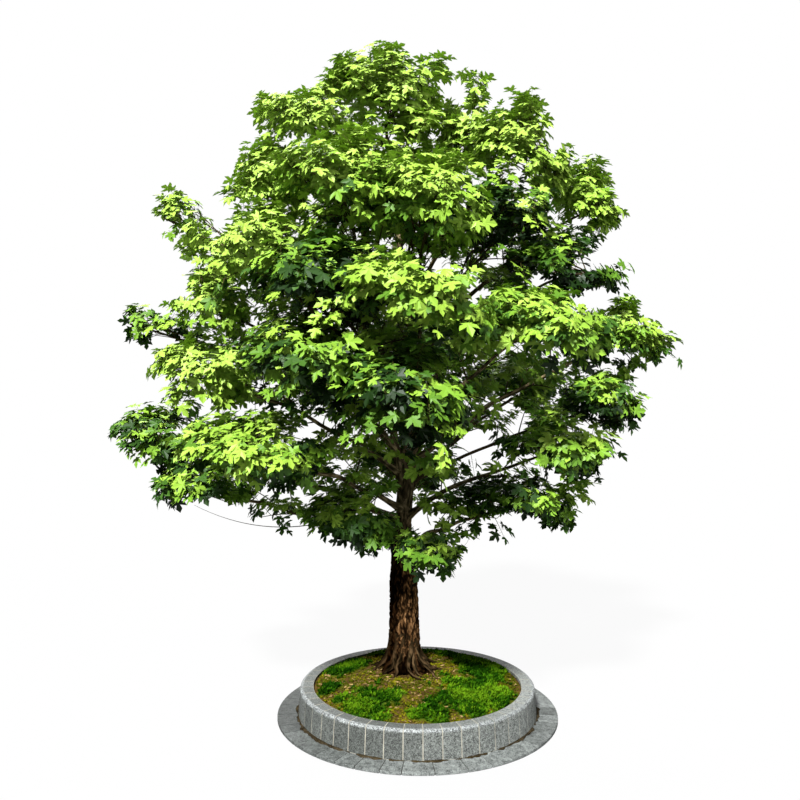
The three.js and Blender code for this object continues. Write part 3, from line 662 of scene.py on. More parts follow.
def trunk_axis(share):
    """A smooth curve through the swaying axis's points."""
    height = lerp(SOIL_SEAT, TRUNK_TIP, share)
    steps = len(TRUNK_SWAY_RIGHT) - 1
    step = min(int(share * steps), steps - 1)
    part = share * steps - step
    sway = []
    for row in (TRUNK_SWAY_RIGHT, TRUNK_SWAY_BACK):
        at, after = row[step], row[step + 1]
        before = row[step - 1] if step > 0 else 2 * at - after
        later = row[step + 2] if step + 2 <= steps else 2 * after - at
        leave, arrive = (after - before) / 2, (later - at) / 2
        square = 3 * (after - at) - 2 * leave - arrive
        cube = 2 * (at - after) + leave + arrive
        sway.append(at + part * (leave + part * (square + part * cube)))
    return TRUNK_FOOT + np.array([*sway, height])


def trunk_radius(share):
    return between(TRUNK_GIRTH, lerp(SOIL_SEAT, TRUNK_TIP, share))


def mass_entry(mass, start):
    """Where a bough ends, at the lower inner side of its mass."""
    inward = start - mass.centre
    inward[2] = 0
    return mass.centre + unit(inward) * BOUGH_ENTERS_AT * mass.spread - UP * BOUGH_DROP * mass.deep


def make_limbs():
    """The trunk, the second leader and the boughs, by name."""
    trunk = Limb(trunk_axis, trunk_radius)
    limbs = {"trunk": trunk}
    leader_top = next(mass for mass in MASSES if mass.limb == "left_leader" and mass.joins == TIP)
    bend = TRUNK_FOOT + np.array(LEADER_BEND)
    leader_axis = bent_axis(trunk.axis(trunk.share_at(LEADER_FROM)), bend, mass_entry(leader_top, bend))
    limbs["left_leader"] = Limb(leader_axis, taper(LEADER_BASE_RADIUS, BOUGH_TIP_RADIUS), trunk)
    for mass in MASSES:
        if mass.joins != BOUGH:
            continue
        parent = limbs[mass.limb]
        share = parent.share_at(mass.at)
        start = parent.axis(share)
        bough = Limb(rising_axis(start, mass_entry(mass, start)), None, parent)
        base = min(
            BOUGH_BASE_RADIUS + BOUGH_RADIUS_PER_LENGTH * bough.length(),
            BOUGH_SHARE_OF_PARENT * parent.radius(share),
        )
        bough.radius = taper(base, min(BOUGH_TIP_RADIUS, base))
        limbs[mass.name] = bough
    return limbs


def make_stem(mass, limbs):
    """The stem that a mass's twigs grow from: on from its limb's tip, or straight from the limb's side."""
    on_tip = {TIP: mass.limb, BOUGH: mass.name}.get(mass.joins)
    limb = limbs[on_tip or mass.limb]
    share = 1.0 if on_tip else limb.share_at(mass.at)
    start = limb.axis(share)
    outward = mass.centre - start
    outward[2] = 0
    end = mass.centre + unit(outward) * STEM_REACH * mass.spread
    if on_tip:
        bend = start + limb.heading(1.0) * STEM_BEND * np.linalg.norm(end - start)
        return Limb(bent_axis(start, bend, end), taper(limb.radius(1.0), STEM_TIP_RADIUS))
    base = min(BOUGH_BASE_RADIUS, BOUGH_SHARE_OF_PARENT * limb.radius(share))
    return Limb(rising_axis(start, end), taper(base, STEM_TIP_RADIUS))


# Meshes
def add_object(name, data):
    made = bpy.data.objects.new(name, data)
    bpy.context.scene.collection.objects.link(made)
    return made


def mesh_of(name, shape):
    """A mesh from a bmesh, which is then given up."""
    mesh = bpy.data.meshes.new(name)
    shape.to_mesh(mesh)
    shape.free()
    return mesh


def put_piece(name, mesh, material, replaced=(), smooth=True):
    piece = add_object(name, mesh)
    mesh.materials.append(material)
    mesh.polygons.foreach_set("use_smooth", [smooth] * len(mesh.polygons))
    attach(piece, "root")
    if replaced:
        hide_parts(*replaced)


def bmesh_piece(name, shape, material, replaced=(), smooth=True):
    put_piece(name, mesh_of(name, shape), material, replaced, smooth)


class Joined:
    """Corners and triangles of many small things that become one mesh."""

    def __init__(self):
        self.corners = []
        self.triangles = []
        self.count = 0

    def add(self, corners, triangles):
        self.corners.append(corners)
        self.triangles.append(triangles + self.count)
        self.count += len(corners)

    def piece(self, name, material, slot, replaced=(), smooth=True):
        mesh = bpy.data.meshes.new(name)
        mesh.from_pydata(np.concatenate(self.corners).tolist(), [], np.concatenate(self.triangles).tolist())
        put_piece(name, mesh, material, replaced, smooth)


@functools.lru_cache(maxsize=None)
def tube_triangles(rings, sides):
    triangles = []
    for ring in range(rings - 1):
        for side in range(sides):
            low, low_next = ring * sides + side, ring * sides + (side + 1) % sides
            triangles += [(low, low_next, low_next + sides), (low, low_next + sides, low + sides)]
    last = (rings - 1) * sides
    for side in range(1, sides - 1):
        triangles += [(0, side + 1, side), (last, last + side, last + side + 1)]
    return np.array(triangles)


def frames_along(points):
    """Directions along, across and aside at each point of a line, turning as little as they can."""
    along = np.gradient(points, axis=0)
    along /= np.linalg.norm(along, axis=1)[:, None]
    guide = UP if abs(along[0] @ RIGHT) > NEARLY_IN_LINE else RIGHT
    across = np.empty_like(along)
    for step, heading in enumerate(along):
        guide = unit(guide - heading * (guide @ heading))
        across[step] = guide
    return along, across, np.cross(along, across)


def tube(points, radii, sides):
    """A closed tapering twig along some points."""
    _, across, aside = frames_along(points)
    angle = np.arange(sides) * 2 * math.pi / sides
    ring = np.cos(angle)[None, :, None] * across[:, None] + np.sin(angle)[None, :, None] * aside[:, None]
    corners = points[:, None] + ring * radii[:, None, None]
    return corners.reshape(-1, 3), tube_triangles(len(points), sides)


def spin_round(shape, verts, edges, steps):
    """Spins a line a full turn about the upright axis, and closes the seam and the poles."""
    bmesh.ops.spin(
        shape, geom=verts + edges, cent=(0, 0, 0), axis=(0, 0, 1), angle=2 * math.pi, steps=steps,
        use_merge=True,
    )
    bmesh.ops.remove_doubles(shape, verts=shape.verts, dist=MERGE_DISTANCE)
    bmesh.ops.recalc_face_normals(shape, faces=shape.faces)


def ring_of(profile, steps):
    """A closed ring: a closed outline of radius and height, spun a full turn."""
    shape = bmesh.new()
    verts = [shape.verts.new((radius, 0, height)) for radius, height in profile]
    edges = [shape.edges.new((verts[i], verts[(i + 1) % len(verts)])) for i in range(len(verts))]
    spin_round(shape, verts, edges, steps)
    return shape


# Materials
def new_material(name, base_color, roughness, specular):
    material = bpy.data.materials.new(name)
    material.use_nodes = True
    nodes = material.node_tree.nodes
    shader = nodes["Principled BSDF"]
    shader.inputs["Base Color"].default_value = (*base_color, 1)
    shader.inputs["Roughness"].default_value = roughness
    shader.inputs["Specular IOR Level"].default_value = specular
    return material, nodes, material.node_tree.links, shader


def feed(links, value, socket):
    """Gives an input another node's output, or a plain value."""
    if isinstance(value, bpy.types.NodeSocket):
        links.new(value, socket)
    else:
        socket.default_value = value


def math_node(nodes, links, operation, first, second):
    node = nodes.new("ShaderNodeMath")
    node.operation = operation
    feed(links, first, node.inputs[0])
    feed(links, second, node.inputs[1])
    return node.outputs[0]


def mix_node(nodes, links, factor, first, second, kind="MIX"):
    node = nodes.new("ShaderNodeMix")
    node.data_type = "RGBA"
    node.blend_type = kind
    feed(links, factor, node.inputs["Factor"])
    feed(links, first, node.inputs["A"])
    feed(links, second, node.inputs["B"])
    return node.outputs["Result"]


def ramp_node(nodes, links, factor, stops):
    ramp = nodes.new("ShaderNodeValToRGB")
    elements = ramp.color_ramp.elements
    while len(elements) < len(stops):
        elements.new(0.5)
    for element, (position, color) in zip(elements, stops):
        element.position = position
        element.color = (*color, 1)
    links.new(factor, ramp.inputs["Fac"])
    return ramp.outputs["Color"]


def attribute_node(nodes, name):
    node = nodes.new("ShaderNodeAttribute")
    node.attribute_name = name
    return node.outputs["Fac"]


@functools.lru_cache(maxsize=None)
def speckle_group():
    """Grains and clouds of tone around 1, with the grains' height for a bump, for stone, earth and bark."""
    group = bpy.data.node_groups.new("speckle", "ShaderNodeTree")
    for socket in ("Grain Scale", "Grain Amount", "Cloud Scale", "Cloud Amount"):
        group.interface.new_socket(socket, in_out="INPUT", socket_type="NodeSocketFloat")
    for socket in ("Tone", "Height"):
        group.interface.new_socket(socket, in_out="OUTPUT", socket_type="NodeSocketFloat")
    nodes, links = group.nodes, group.links
    inside, outside = nodes.new("NodeGroupInput"), nodes.new("NodeGroupOutput")
    place = nodes.new("ShaderNodeTexCoord")
    parts = {}
    for kind in ("Grain", "Cloud"):
        texture = nodes.new("ShaderNodeTexNoise")
        texture.inputs["Detail"].default_value = SPECKLE_DETAIL
        links.new(place.outputs["Object"], texture.inputs["Vector"])
        links.new(inside.outputs[f"{kind} Scale"], texture.inputs["Scale"])
        centred = math_node(nodes, links, "SUBTRACT", texture.outputs["Fac"], 0.5)
        parts[kind] = math_node(nodes, links, "MULTIPLY", centred, inside.outputs[f"{kind} Amount"])
        if kind == "Grain":
            links.new(texture.outputs["Fac"], outside.inputs["Height"])
    both = math_node(nodes, links, "ADD", parts["Grain"], parts["Cloud"])
    links.new(math_node(nodes, links, "ADD", both, 1.0), outside.inputs["Tone"])
    return group


def speckle(material, color, grain, cloud, bump=0.0):
    """Puts the speckle over a plain colour, or over a socket's, on its way to the material's shader."""
    nodes, links = material.node_tree.nodes, material.node_tree.links
    shader = nodes["Principled BSDF"]
    node = nodes.new("ShaderNodeGroup")
    node.node_tree = speckle_group()
    node.inputs["Grain Scale"].default_value, node.inputs["Grain Amount"].default_value = grain
    node.inputs["Cloud Scale"].default_value, node.inputs["Cloud Amount"].default_value = cloud
    toned = nodes.new("ShaderNodeVectorMath")
    toned.operation = "SCALE"
    feed(links, color, toned.inputs[0])
    links.new(node.outputs["Tone"], toned.inputs["Scale"])
    links.new(toned.outputs[0], shader.inputs["Base Color"])
    if bump:
        raised = nodes.new("ShaderNodeBump")
        raised.inputs["Strength"].default_value = bump
        raised.inputs["Distance"].default_value = BUMP_DISTANCE
        links.new(node.outputs["Height"], raised.inputs["Height"])
        links.new(raised.outputs["Normal"], shader.inputs["Normal"])


def speckled_material(name, color, roughness, grain, cloud, bump=0.0):
    """One dull colour under speckle, for mortar, sand, dirt, twigs, moss and litter."""
    material = new_material(name, color, roughness, specular=0.0)[0]
    speckle(material, color, grain, cloud, bump)
    return material


def bark_material():
    """Dark cracks between brown ridges on old wood, olive grey-brown on young wood, darkened by painted shade
    on the trunk's side and foot and on the root strands.
    """
    material, nodes, links, _ = new_material("bark", BARK, roughness=0.9, specular=0.0)
    ridge = attribute_node(nodes, "ridge")
    old = ramp_node(nodes, links, ridge, OLD_BARK)
    young = ramp_node(nodes, links, ridge, YOUNG_BARK)
    dry = mix_node(nodes, links, attribute_node(nodes, "youth"), old, young)
    painted_shade = mix_node(nodes, links, attribute_node(nodes, "painted_shade"), dry, PAINTED_SHADE_BARK, "MULTIPLY")
    speckle(material, painted_shade, grain=(160, 1.4), cloud=(8, 2.2), bump=0.5)
    return material


def painted_edge_highlight(nodes, links):
    """A mask for the painted highlight on the rounded upper edge of the kerb: far out and high up."""
    place = nodes.new("ShaderNodeTexCoord")
    apart = nodes.new("ShaderNodeSeparateXYZ")
    links.new(place.outputs["Object"], apart.inputs[0])
    flat = nodes.new("ShaderNodeCombineXYZ")
    links.new(apart.outputs["X"], flat.inputs["X"])
    links.new(apart.outputs["Y"], flat.inputs["Y"])
    radius = nodes.new("ShaderNodeVectorMath")
    radius.operation = "LENGTH"
    links.new(flat.outputs[0], radius.inputs[0])
    masks = []
    for socket, edge, (start, full) in (
        (radius.outputs["Value"], KERB_RIM_RADIUS, HIGHLIGHT_FROM_RIM),
        (apart.outputs["Z"], KERB_TOP, HIGHLIGHT_FROM_TOP),
    ):
        mask = nodes.new("ShaderNodeMapRange")
        mask.interpolation_type = "SMOOTHSTEP"
        mask.inputs["From Min"].default_value = edge - start * KERB_ROUNDING
        mask.inputs["From Max"].default_value = edge - full * KERB_ROUNDING
        links.new(socket, mask.inputs["Value"])
        masks.append(mask.outputs["Result"])
    return math_node(nodes, links, "MULTIPLY", *masks)


def stone_material(name, dark, light, grain, cloud):
    """Kerb or paving: each stone has its own tone under fine speckle, partly random and partly painted light
    and shade by heading, and the kerb's rounded edge has a pale painted highlight.
    """
    material, nodes, links, _ = new_material(name, light, roughness=0.72, specular=0.4)
    toned = ramp_node(nodes, links, attribute_node(nodes, "stone_tone"), [(0.0, dark), (1.0, light)])
    highlighted = mix_node(nodes, links, painted_edge_highlight(nodes, links), toned, PAINTED_EDGE_HIGHLIGHT)
    speckle(material, highlighted, grain, cloud, bump=0.25)
    return material


def soil_material():
    """Brown earth, green where the moss lies."""
    material, nodes, links, _ = new_material("earth", EARTH, roughness=0.95, specular=0.0)
    covered = ramp_node(nodes, links, attribute_node(nodes, "moss"), EARTH_TO_MOSS)
    speckle(material, covered, grain=(60, 3.0), cloud=(11, 2.0), bump=0.9)
    return material


# Trunk and boughs
def crack_relief(place, heading, height, girth):
    """How far a crack in the bark goes in at a point of a limb, from 0 on a ridge to 1 in a crack."""
    around = Vector((math.cos(heading) * girth, math.sin(heading) * girth, 0)) * CRACKS_PER_METRE
    around.z = height * CRACKS_PER_METRE * CRACK_STRETCH
    swaying = Vector((place[0], place[1], height)) * CRACK_SWAYS_PER_METRE + Vector((heading, 0, 0))
    sway = noise.noise(swaying)
    around.x += sway
    around.y -= sway
    wide = abs(noise.noise(around))
    fine = abs(noise.noise(around * FINE_CRACK_SCALE + FINE_CRACK_PLACE))
    deep = math.exp(-((wide / CRACK_WIDTH) ** 2))
    shallow = math.exp(-((fine / CRACK_WIDTH) ** 2))
    return min(1.0, deep + FINE_CRACK_DEPTH * shallow)


def root_flare(heading, height):
    """How far the root flare stands out from the trunk at a heading and a height."""
    fade = math.exp(-(height - SOIL_SEAT) / ROOT_FALL)
    total = 0.0
    for toward, reach in ROOTS:
        away = degrees_apart(math.degrees(heading), toward)
        total += FLARE_SHARE * reach * fade * math.exp(-((away / ROOT_HALF_WIDTH) ** 2))
    return total


def trunk_youth(height):
    """How young the trunk's bark is, from 0 in the cracked old wood to 1 up in the crown."""
    return smooth_step(OLD_BARK_UP_TO, YOUNG_BARK_FROM, height)


def painted_shade_at(heading, height):
    """How much painted shade darkens the trunk's side and foot, from 0 to 1; the side fades into the young
    wood.
    """
    away = degrees_apart(math.degrees(heading), PAINTED_SHADE_TOWARD)
    place = Vector((heading * PAINTED_SHADE_RAGGED_AROUND, 0, height * PAINTED_SHADE_RAGGED_UP))
    ragged = PAINTED_SHADE_RAGGED * noise.noise(place)
    side = math.exp(-(((away + ragged) / PAINTED_SHADE_HALF_WIDTH) ** PAINTED_SHADE_EDGE_POWER))
    foot = math.exp(-max(height - SOIL_SEAT, 0.0) / PAINTED_SHADE_FOOT_HEIGHT)
    return max(side * (1 - trunk_youth(height)), foot)


def bark_limb(name, limb, sides, shares, material, replaced, youth_at, flare=None, painted_shade=0.0):
    """A limb grown ring by ring from a circle, with the bark's relief.

    It has a collar where it leaves its parent, and a flare, and painted shade on a side and at the foot,
    where it has a flare.
    """
    points = np.array([limb.axis(share) for share in shares])
    _, across, aside = frames_along(points)
    from_start = np.concatenate([[0], np.cumsum(np.linalg.norm(np.diff(points, axis=0), axis=1))])
    inside_parent = limb.parent.radius(limb.parent.share_at(points[0][2])) if limb.parent else 0.0
    shape = bmesh.new()
    ridge_of = shape.verts.layers.float.new("ridge")
    youth_of = shape.verts.layers.float.new("youth")
    painted_shade_of = shape.verts.layers.float.new("painted_shade")

    def place_ring(ring, step):
        girth = limb.radius(shares[step])
        height = points[step][2]
        youth = youth_at(height)
        depth = lerp(min(CRACK_DEPTH, CRACK_DEPTH_OF_GIRTH * girth), YOUNG_CRACK_OF_GIRTH * girth, youth)
        swell = 0.0
        if limb.parent:
            swell = COLLAR_SWELL * math.exp(-max(from_start[step] - inside_parent, 0) / COLLAR_LENGTH)
        for vert in ring:
            heading = heading_of[vert]
            crack = crack_relief(points[step], heading, height + from_start[step], girth)
            radius = girth * (1 + swell) - depth * crack
            if flare:
                radius += flare(heading, height)
            offset = math.cos(heading) * across[step] + math.sin(heading) * aside[step]
            vert.co = points[step] + offset * radius
            vert[ridge_of] = 1 - crack
            vert[youth_of] = youth
            vert[painted_shade_of] = painted_shade_at(heading, height) if flare else painted_shade

    ring = bmesh.ops.create_circle(shape, cap_ends=True, segments=sides, radius=1.0)["verts"]
    heading_of = {vert: math.atan2(vert.co.y, vert.co.x) for vert in ring}
    edges = list(shape.edges)
    place_ring(ring, 0)
    for step in range(1, len(shares)):
        below = set(ring)
        grown = bmesh.ops.extrude_edge_only(shape, edges=edges)["geom"]
        ring = [part for part in grown if isinstance(part, bmesh.types.BMVert)]
        edges = [part for part in grown if isinstance(part, bmesh.types.BMEdge)]
        for vert in ring:
            ends = (edge.other_vert(vert) for edge in vert.link_edges)
            heading_of[vert] = heading_of[next(end for end in ends if end in below)]
        place_ring(ring, step)
    bmesh.ops.contextual_create(shape, geom=edges)
    bmesh.ops.recalc_face_normals(shape, faces=shape.faces)
    bmesh_piece(name, shape, material, replaced)


def root_strand(heading, reach):
    """A root that leaves the trunk's side, runs down the flare and out, and dips into the earth."""

    def axis(share):
        sway = STRAND_SWAY * noise.noise(Vector((heading, share * STRAND_SWAYS, STRAND_SWAY_PLACE)))
        toward = math.radians(heading + sway)
        out = lerp(STRAND_FROM_AXIS, reach, share**STRAND_OUT_POWER)
        fall = (1 - share) ** STRAND_FALL_POWER
        dip = STRAND_DIP * share**STRAND_DIP_POWER
        height = lerp(SOIL_SEAT + STRAND_ABOVE_EARTH, STRAND_FROM, fall) - dip
        return TRUNK_FOOT + np.array([math.cos(toward) * out, math.sin(toward) * out, height])

    return Limb(axis, taper(STRAND_RADIUS, STRAND_TIP_RADIUS))


def make_bark(limbs):
    bark = bark_material()
    shares = [share**TRUNK_RING_CROWDING for share in even_shares(TRUNK_RINGS)]
    bark_limb(
        "bark_trunk", limbs["trunk"], TRUNK_SIDES, shares, bark, ["trunk"], trunk_youth, root_flare
    )
    for number, (heading, reach) in enumerate(ROOT_STRANDS):
        # Painted shade on each strand, lighter toward the right front
        painted_shade = lerp(STRAND_SHADE, LIT_STRAND_SHADE, nearness(heading, STRAND_LIT_TOWARD))
        bark_limb(
            f"root_strand_{number}", root_strand(heading, reach), STRAND_SIDES, even_shares(STRAND_RINGS),
            bark, ["trunk"], lambda _: STRAND_YOUTH, painted_shade=painted_shade,
        )
    for name, limb in limbs.items():
        if limb.parent is None:
            continue
        shares = even_shares(math.ceil(limb.length() / BOUGH_RING_STEP))
        node = f"bough_{name}"
        bark_limb(f"bark_{node}", limb, BOUGH_SIDES, shares, bark, [node], lambda _: 1.0)


# Twigs and leaves
def leaf_template(fold, droop):
    """A five-lobed leaf: a fan of triangles round the point where its veins meet, folded and drooping.

    The two last triangles are its stalk, whose corners follow the blade's.
    """
    other_half = [(-x, y) for x, y in reversed(LEAF_HALF_OUTLINE)]
    outline = [(0.0, 0.0), *LEAF_HALF_OUTLINE, (0.0, LEAF_TIP), *other_half]
    flat = np.array([(0.0, LEAF_VEINS_MEET), *outline])
    away = np.hypot(flat[:, 0], flat[:, 1] - LEAF_VEINS_MEET)
    rise = fold * np.abs(flat[:, 0]) - droop * away**2
    rise[away < LEAF_NOTCH_REACH] -= LEAF_NOTCH_DIP
    rise[0] = LEAF_MIDDLE_RISE
    corners = np.column_stack([flat, rise])
    around = len(outline)
    fan = [(0, 1 + step, 1 + (step + 1) % around) for step in range(around)]
    stalk = [(around + 1, around + 2, around + 3), (around + 1, around + 3, around + 4)]
    return corners, np.array(fan + stalk)


LEAF_TEMPLATES = [leaf_template(fold, droop) for fold, droop in LEAF_FORMS]

Space = namedtuple("Space", "centre reach light", defaults=(0.0,))


def space_of(mass):
    """The space that a mass's shoots may end in, so that their leaves fill the mass."""
    wide = mass.spread * SPACE_OVERRUN - LEAF_PAST_SHOOT
    reach = np.array([wide, wide, mass.deep * HEIGHT_OVERRUN - LEAF_ABOVE_SHOOT])
    return Space(mass.centre, reach, PAINTED_LIGHT_SHIFTS.get(mass.name, 0.0))


def point_in(space, heading, rise, share):
    flat = math.sqrt(max(1 - rise * rise, 0.0))
    return space.centre + space.reach * (math.cos(heading) * flat, math.sin(heading) * flat, rise) * share


def outward_in(space, point):
    """The direction square to the surface of a space at a point."""
    return unit((point - space.centre) / space.reach**2)


def in_opening(point):
    """Whether a point, seen from the front, lies in one of the gaps with sky."""
    camera = np.array(CAMERA_PLACE)
    seen = camera + (point - camera) * (TRUNK_BACK - camera[1]) / (point[1] - camera[1])
    return any(
        math.hypot((seen[0] - right) / half_width, (seen[2] - up) / half_height) < 1
        for right, up, half_width, half_height in OPENINGS
    )


def painted_light_at(space, point, draw):
    """How much light is painted into a spray's leaf colour: little deep in the crown, about 1 on the outside
    and top, and loose.
    """
    from_space = (point - space.centre) / space.reach
    from_crown = (point - CROWN_MIDDLE) / CROWN_HALF_SIZES
    high_in_mass = 0.5 + 0.5 * from_space[2]
    far_out = min(np.linalg.norm(from_crown), 1.0)
    high_in_crown = 0.5 + 0.5 * from_crown[2]
    light = LIGHT_HIGH_IN_MASS * high_in_mass + LIGHT_FAR_OUT * far_out + LIGHT_HIGH_IN_CROWN * high_in_crown
    return light + LIGHT_VARIES * (draw() - 0.5) + space.light


def tone_at(light):
    return list(LEAF_TONES)[int(np.searchsorted(TONE_STEPS, light))]


class Crown:
    """The twigs, shoots and leaves of all masses, joined by kind."""

    def __init__(self):
        self.twigs = Joined()
        self.shoots = Joined()
        self.leaves = {tone: Joined() for tone in LEAF_TONES}

    def grow_leaf(self, at, stalk, space, tone, draw):
        """A leaf on its stalk that faces up, out of its mass and out of the crown."""
        length = LEAF_LENGTH * varied(LEAF_LENGTH_VARIES, draw)
        base = at + stalk * STALK_SHARE * length
        loose = np.array([draw() - 0.5, draw() - 0.5, draw() - 0.5]) * 2 * LEAF_FACE_VARIES
        from_crown = unit(base - CROWN_MIDDLE)
        face = unit(UP + LEAF_FACE_OUT * outward_in(space, base) + LEAF_FACE_TO_LIGHT * from_crown + loose)
        along = stalk - UP * LEAF_DROOP * (LEAF_DROOP_LEAST + draw())
        along = unit(along - face * (along @ face))
        across = np.cross(along, face)
        corners, triangles = LEAF_TEMPLATES[int(draw() * len(LEAF_TEMPLATES))]
        blade = base + corners @ (np.array([across, along, face]) * length)
        width = across * STALK_HALF_WIDTH
        ribbon = [at - width, at + width, blade[0] + width, blade[0] - width]
        self.leaves[tone].add(np.concatenate([blade, ribbon]), triangles)

    def grow_shoot(self, start, heading, length, space, draw):
        """A thin shoot that sags at its end, with leaves on alternate sides and one at its tip.

        It grows, and says so, unless its end would close an opening.
        """
        end = start + heading * length - UP * SHOOT_SAG * length
        out = np.linalg.norm((end - space.centre) / space.reach)
        limit = 1 + RAGGED * (draw() - 0.5) - (LOW_SIDE_HELD if end[2] < space.centre[2] else 0)
        if out > limit:
            end = space.centre + (end - space.centre) * limit / out
        end[1] = max(end[1], CROWN_FRONT)
        if in_opening(end):
            return False
        axis = bent_axis(start, start + heading * SHOOT_BEND * length, end)
        radii = np.linspace(SHOOT_RADIUS, SHOOT_TIP_RADIUS, SHOOT_STEPS + 1)
        self.shoots.add(*tube(sampled(axis, SHOOT_STEPS), radii, SHOOT_SIDES))
        side = across_of(heading)
        # Painted light and shade: the spray's leaves get a lighter or darker base colour by the light it is
        # given here
        tone = tone_at(painted_light_at(space, end, draw))
        for leaf in range(LEAVES_PER_SHOOT):
            place = (leaf + LEAF_PLACE_VARIES * draw()) / (LEAVES_PER_SHOOT - LEAF_PLACE_VARIES)
            share = min(lerp(LEAVES_FROM, 1.0, place), 1.0)
            last = leaf == LEAVES_PER_SHOOT - 1
            turn = 0.0 if last else (1 if leaf % 2 else -1) * (LEAF_TURN + LEAF_TURN_VARIES * draw())
            rise = LEAF_RISE + LEAF_RISE_VARIES * draw()
            stalk = unit(heading * (1.0 if last else LEAF_ALONG) + side * turn + UP * rise)
            self.grow_leaf(axis(share), stalk, space, tone, draw)
        return True

    def grow_twig(self, start, end, space, shoots_at, draw):
        """An arched twig with shoots round it, cut back at an opening, that ends at its last shoot."""
        if in_opening(end):
            end = lerp(start, end, TWIG_KEPT)
        length = np.linalg.norm(end - start)
        bend = lerp(start, end, 0.5) + UP * TWIG_ARCH * length
        axis = bent_axis(start, bend, end)
        borne = 0.0
        for number, share in enumerate(shoots_at):
            along = unit(axis(share) - axis(share - SHOOT_LOOKS_BACK))
            sideways = sideways_of(along, number, draw)
            spread = 0.0
            if share < 1:
                spread = SHOOT_SPREAD * (SHOOT_SPREAD_LEAST + SHOOT_SPREAD_VARIES * draw())
            heading = unit(SHOOT_ALONG * along + spread * sideways + SHOOT_RISE * UP)
            shoot = SHOOT_LENGTH * varied(SHOOT_LENGTH_VARIES, draw)
            if self.grow_shoot(axis(share), heading, shoot, space, draw):
                borne = share
        if borne > 0:
            radii = np.linspace(TWIG_RADIUS, TWIG_TIP_RADIUS, TWIG_STEPS + 1)
            self.twigs.add(*tube(sampled(axis, TWIG_STEPS, borne), radii, TWIG_SIDES))

    def grow_mass(self, mass, stem, draw):
        """A mass's stem, and its twigs, spread evenly over the mass's space."""
        self.twigs.add(*tube(sampled(stem.axis, STEM_STEPS), sampled(stem.radius, STEM_STEPS), STEM_SIDES))
        size = (mass.spread**2 * mass.deep) ** (1 / 3)
        space = space_of(mass)
        shoots_at = SHOOTS_AT if mass.spread > LOOSE_SPREAD else INNER_SHOOTS_AT
        for twig in range(round(TWIGS_PER_MASS * (size / USUAL_SIZE) ** 2)):
            heading = turn_of(twig, draw)
            rise = lerp(TWIG_LOWEST, TWIG_HIGHEST, (twig * GOLDEN_PART + TWIG_RISE_VARIES * draw()) % 1)
            share = TWIG_REACH + TWIG_REACH_VARIES * (draw() - 0.5)
            start = stem.axis(lerp(TWIGS_FROM, 1.0, draw()))
            self.grow_twig(start, point_in(space, heading, rise, share), space, shoots_at, draw)

    def grow_along(self, limb, first, last, step, longest, draw):
        """Short leafy twigs along a limb, inside the crown; those on the low limbs only rise."""
        count = int(limb.length() * (last - first) / step)
        for twig in range(count):
            share = lerp(first, last, (twig + draw()) / count)
            start = limb.axis(share)
            along = limb.heading(share)
            sideways = sideways_of(along, twig, draw)
            rise = INNER_TWIG_RISE if start[2] > LOW_LIMBS_UP_TO else LOW_TWIG_RISE
            toward = unit(INNER_TWIG_ALONG * along + sideways + rise * UP)
            reach = longest * (INNER_TWIG_LEAST + INNER_TWIG_VARIES * draw())
            space = Space(start - UP * INNER_SPACE_DROP, np.full(3, reach + INNER_SPACE_ROOM))
            self.grow_twig(start, start + toward * reach, space, INNER_SHOOTS_AT, draw)

    def grow_sprig(self, mass, right, up, draw):
        """A leafy twig that stands out of a mass."""
        tip = np.array([right, mass.centre[1], up])
        space = Space(tip - UP * SPRIG_SPREAD / 2, np.full(3, SPRIG_SPREAD))
        self.grow_twig(lerp(mass.centre, tip, SPRIG_FROM), tip, space, SPRIG_SHOOTS_AT, draw)

    def grow_bare_twig(self, bough):
        start = bough.axis(BARE_TWIG_FROM)
        axis = bent_axis(start, start + BARE_TWIG_BEND, start + BARE_TWIG_END)
        radii = np.linspace(BARE_TWIG_RADIUS, SHOOT_TIP_RADIUS, STEM_STEPS + 1)
        self.twigs.add(*tube(sampled(axis, STEM_STEPS), radii, TWIG_SIDES))


def grow_crown(limbs):
    crown = Crown()
    for index, mass in enumerate(MASSES):
        draw = seeded_random(SEED + index)
        stem = make_stem(mass, limbs)
        crown.grow_mass(mass, stem, draw)
        step, longest = INNER_TWIG_STEP, INNER_TWIG_LENGTH * min(1.0, mass.spread / USUAL_SIZE)
        if mass.centre[1] > BACK_FROM:
            step, longest = BACK_TWIG_STEP, BACK_TWIG_LENGTH
        limb = limbs.get(mass.name, stem)
        crown.grow_along(limb, INNER_TWIGS_FROM, INNER_TWIGS_UP_TO, step, longest, draw)
    draw = seeded_random(SEED + len(MASSES))
    for name in ("trunk", "left_leader"):
        crown.grow_along(limbs[name], TRUNK_TWIGS_FROM, 1.0, TRUNK_TWIG_STEP, TRUNK_TWIG_LENGTH, draw)
    mass_of = {mass.name: mass for mass in MASSES}
    for name, right, up in SPRIGS:
        crown.grow_sprig(mass_of[name], right, up, draw)
    crown.grow_bare_twig(limbs["left_low_fringe"])
    return crown


def make_crown(limbs):
    crown = grow_crown(limbs)
    foliage = sorted(node for node in frame["nodes"] if node.startswith("foliage_"))
    twig_bark = speckled_material("twig_bark", TWIG_BARK, roughness=0.8, grain=(140, 1.6), cloud=(11, 1.2))
    crown.twigs.piece("twigs", twig_bark, "young_bark", foliage)
    shoot_bark = speckled_material(
        "shoot_bark", SHOOT_BARK, roughness=0.7, grain=(140, 1.2), cloud=(11, 1.0)
    )
    crown.shoots.piece("shoots", shoot_bark, "young_bark", foliage)
    # Lit and shaded copies of one leaf material, one for each tone of painted light
    for tone, color in LEAF_TONES.items():
        leaf = new_material(f"leaf_{tone}", color, LEAF_ROUGHNESS, LEAF_SPECULAR)[0]
        crown.leaves[tone].piece(f"leaves_{tone}", leaf, "foliage", foliage, smooth=False)


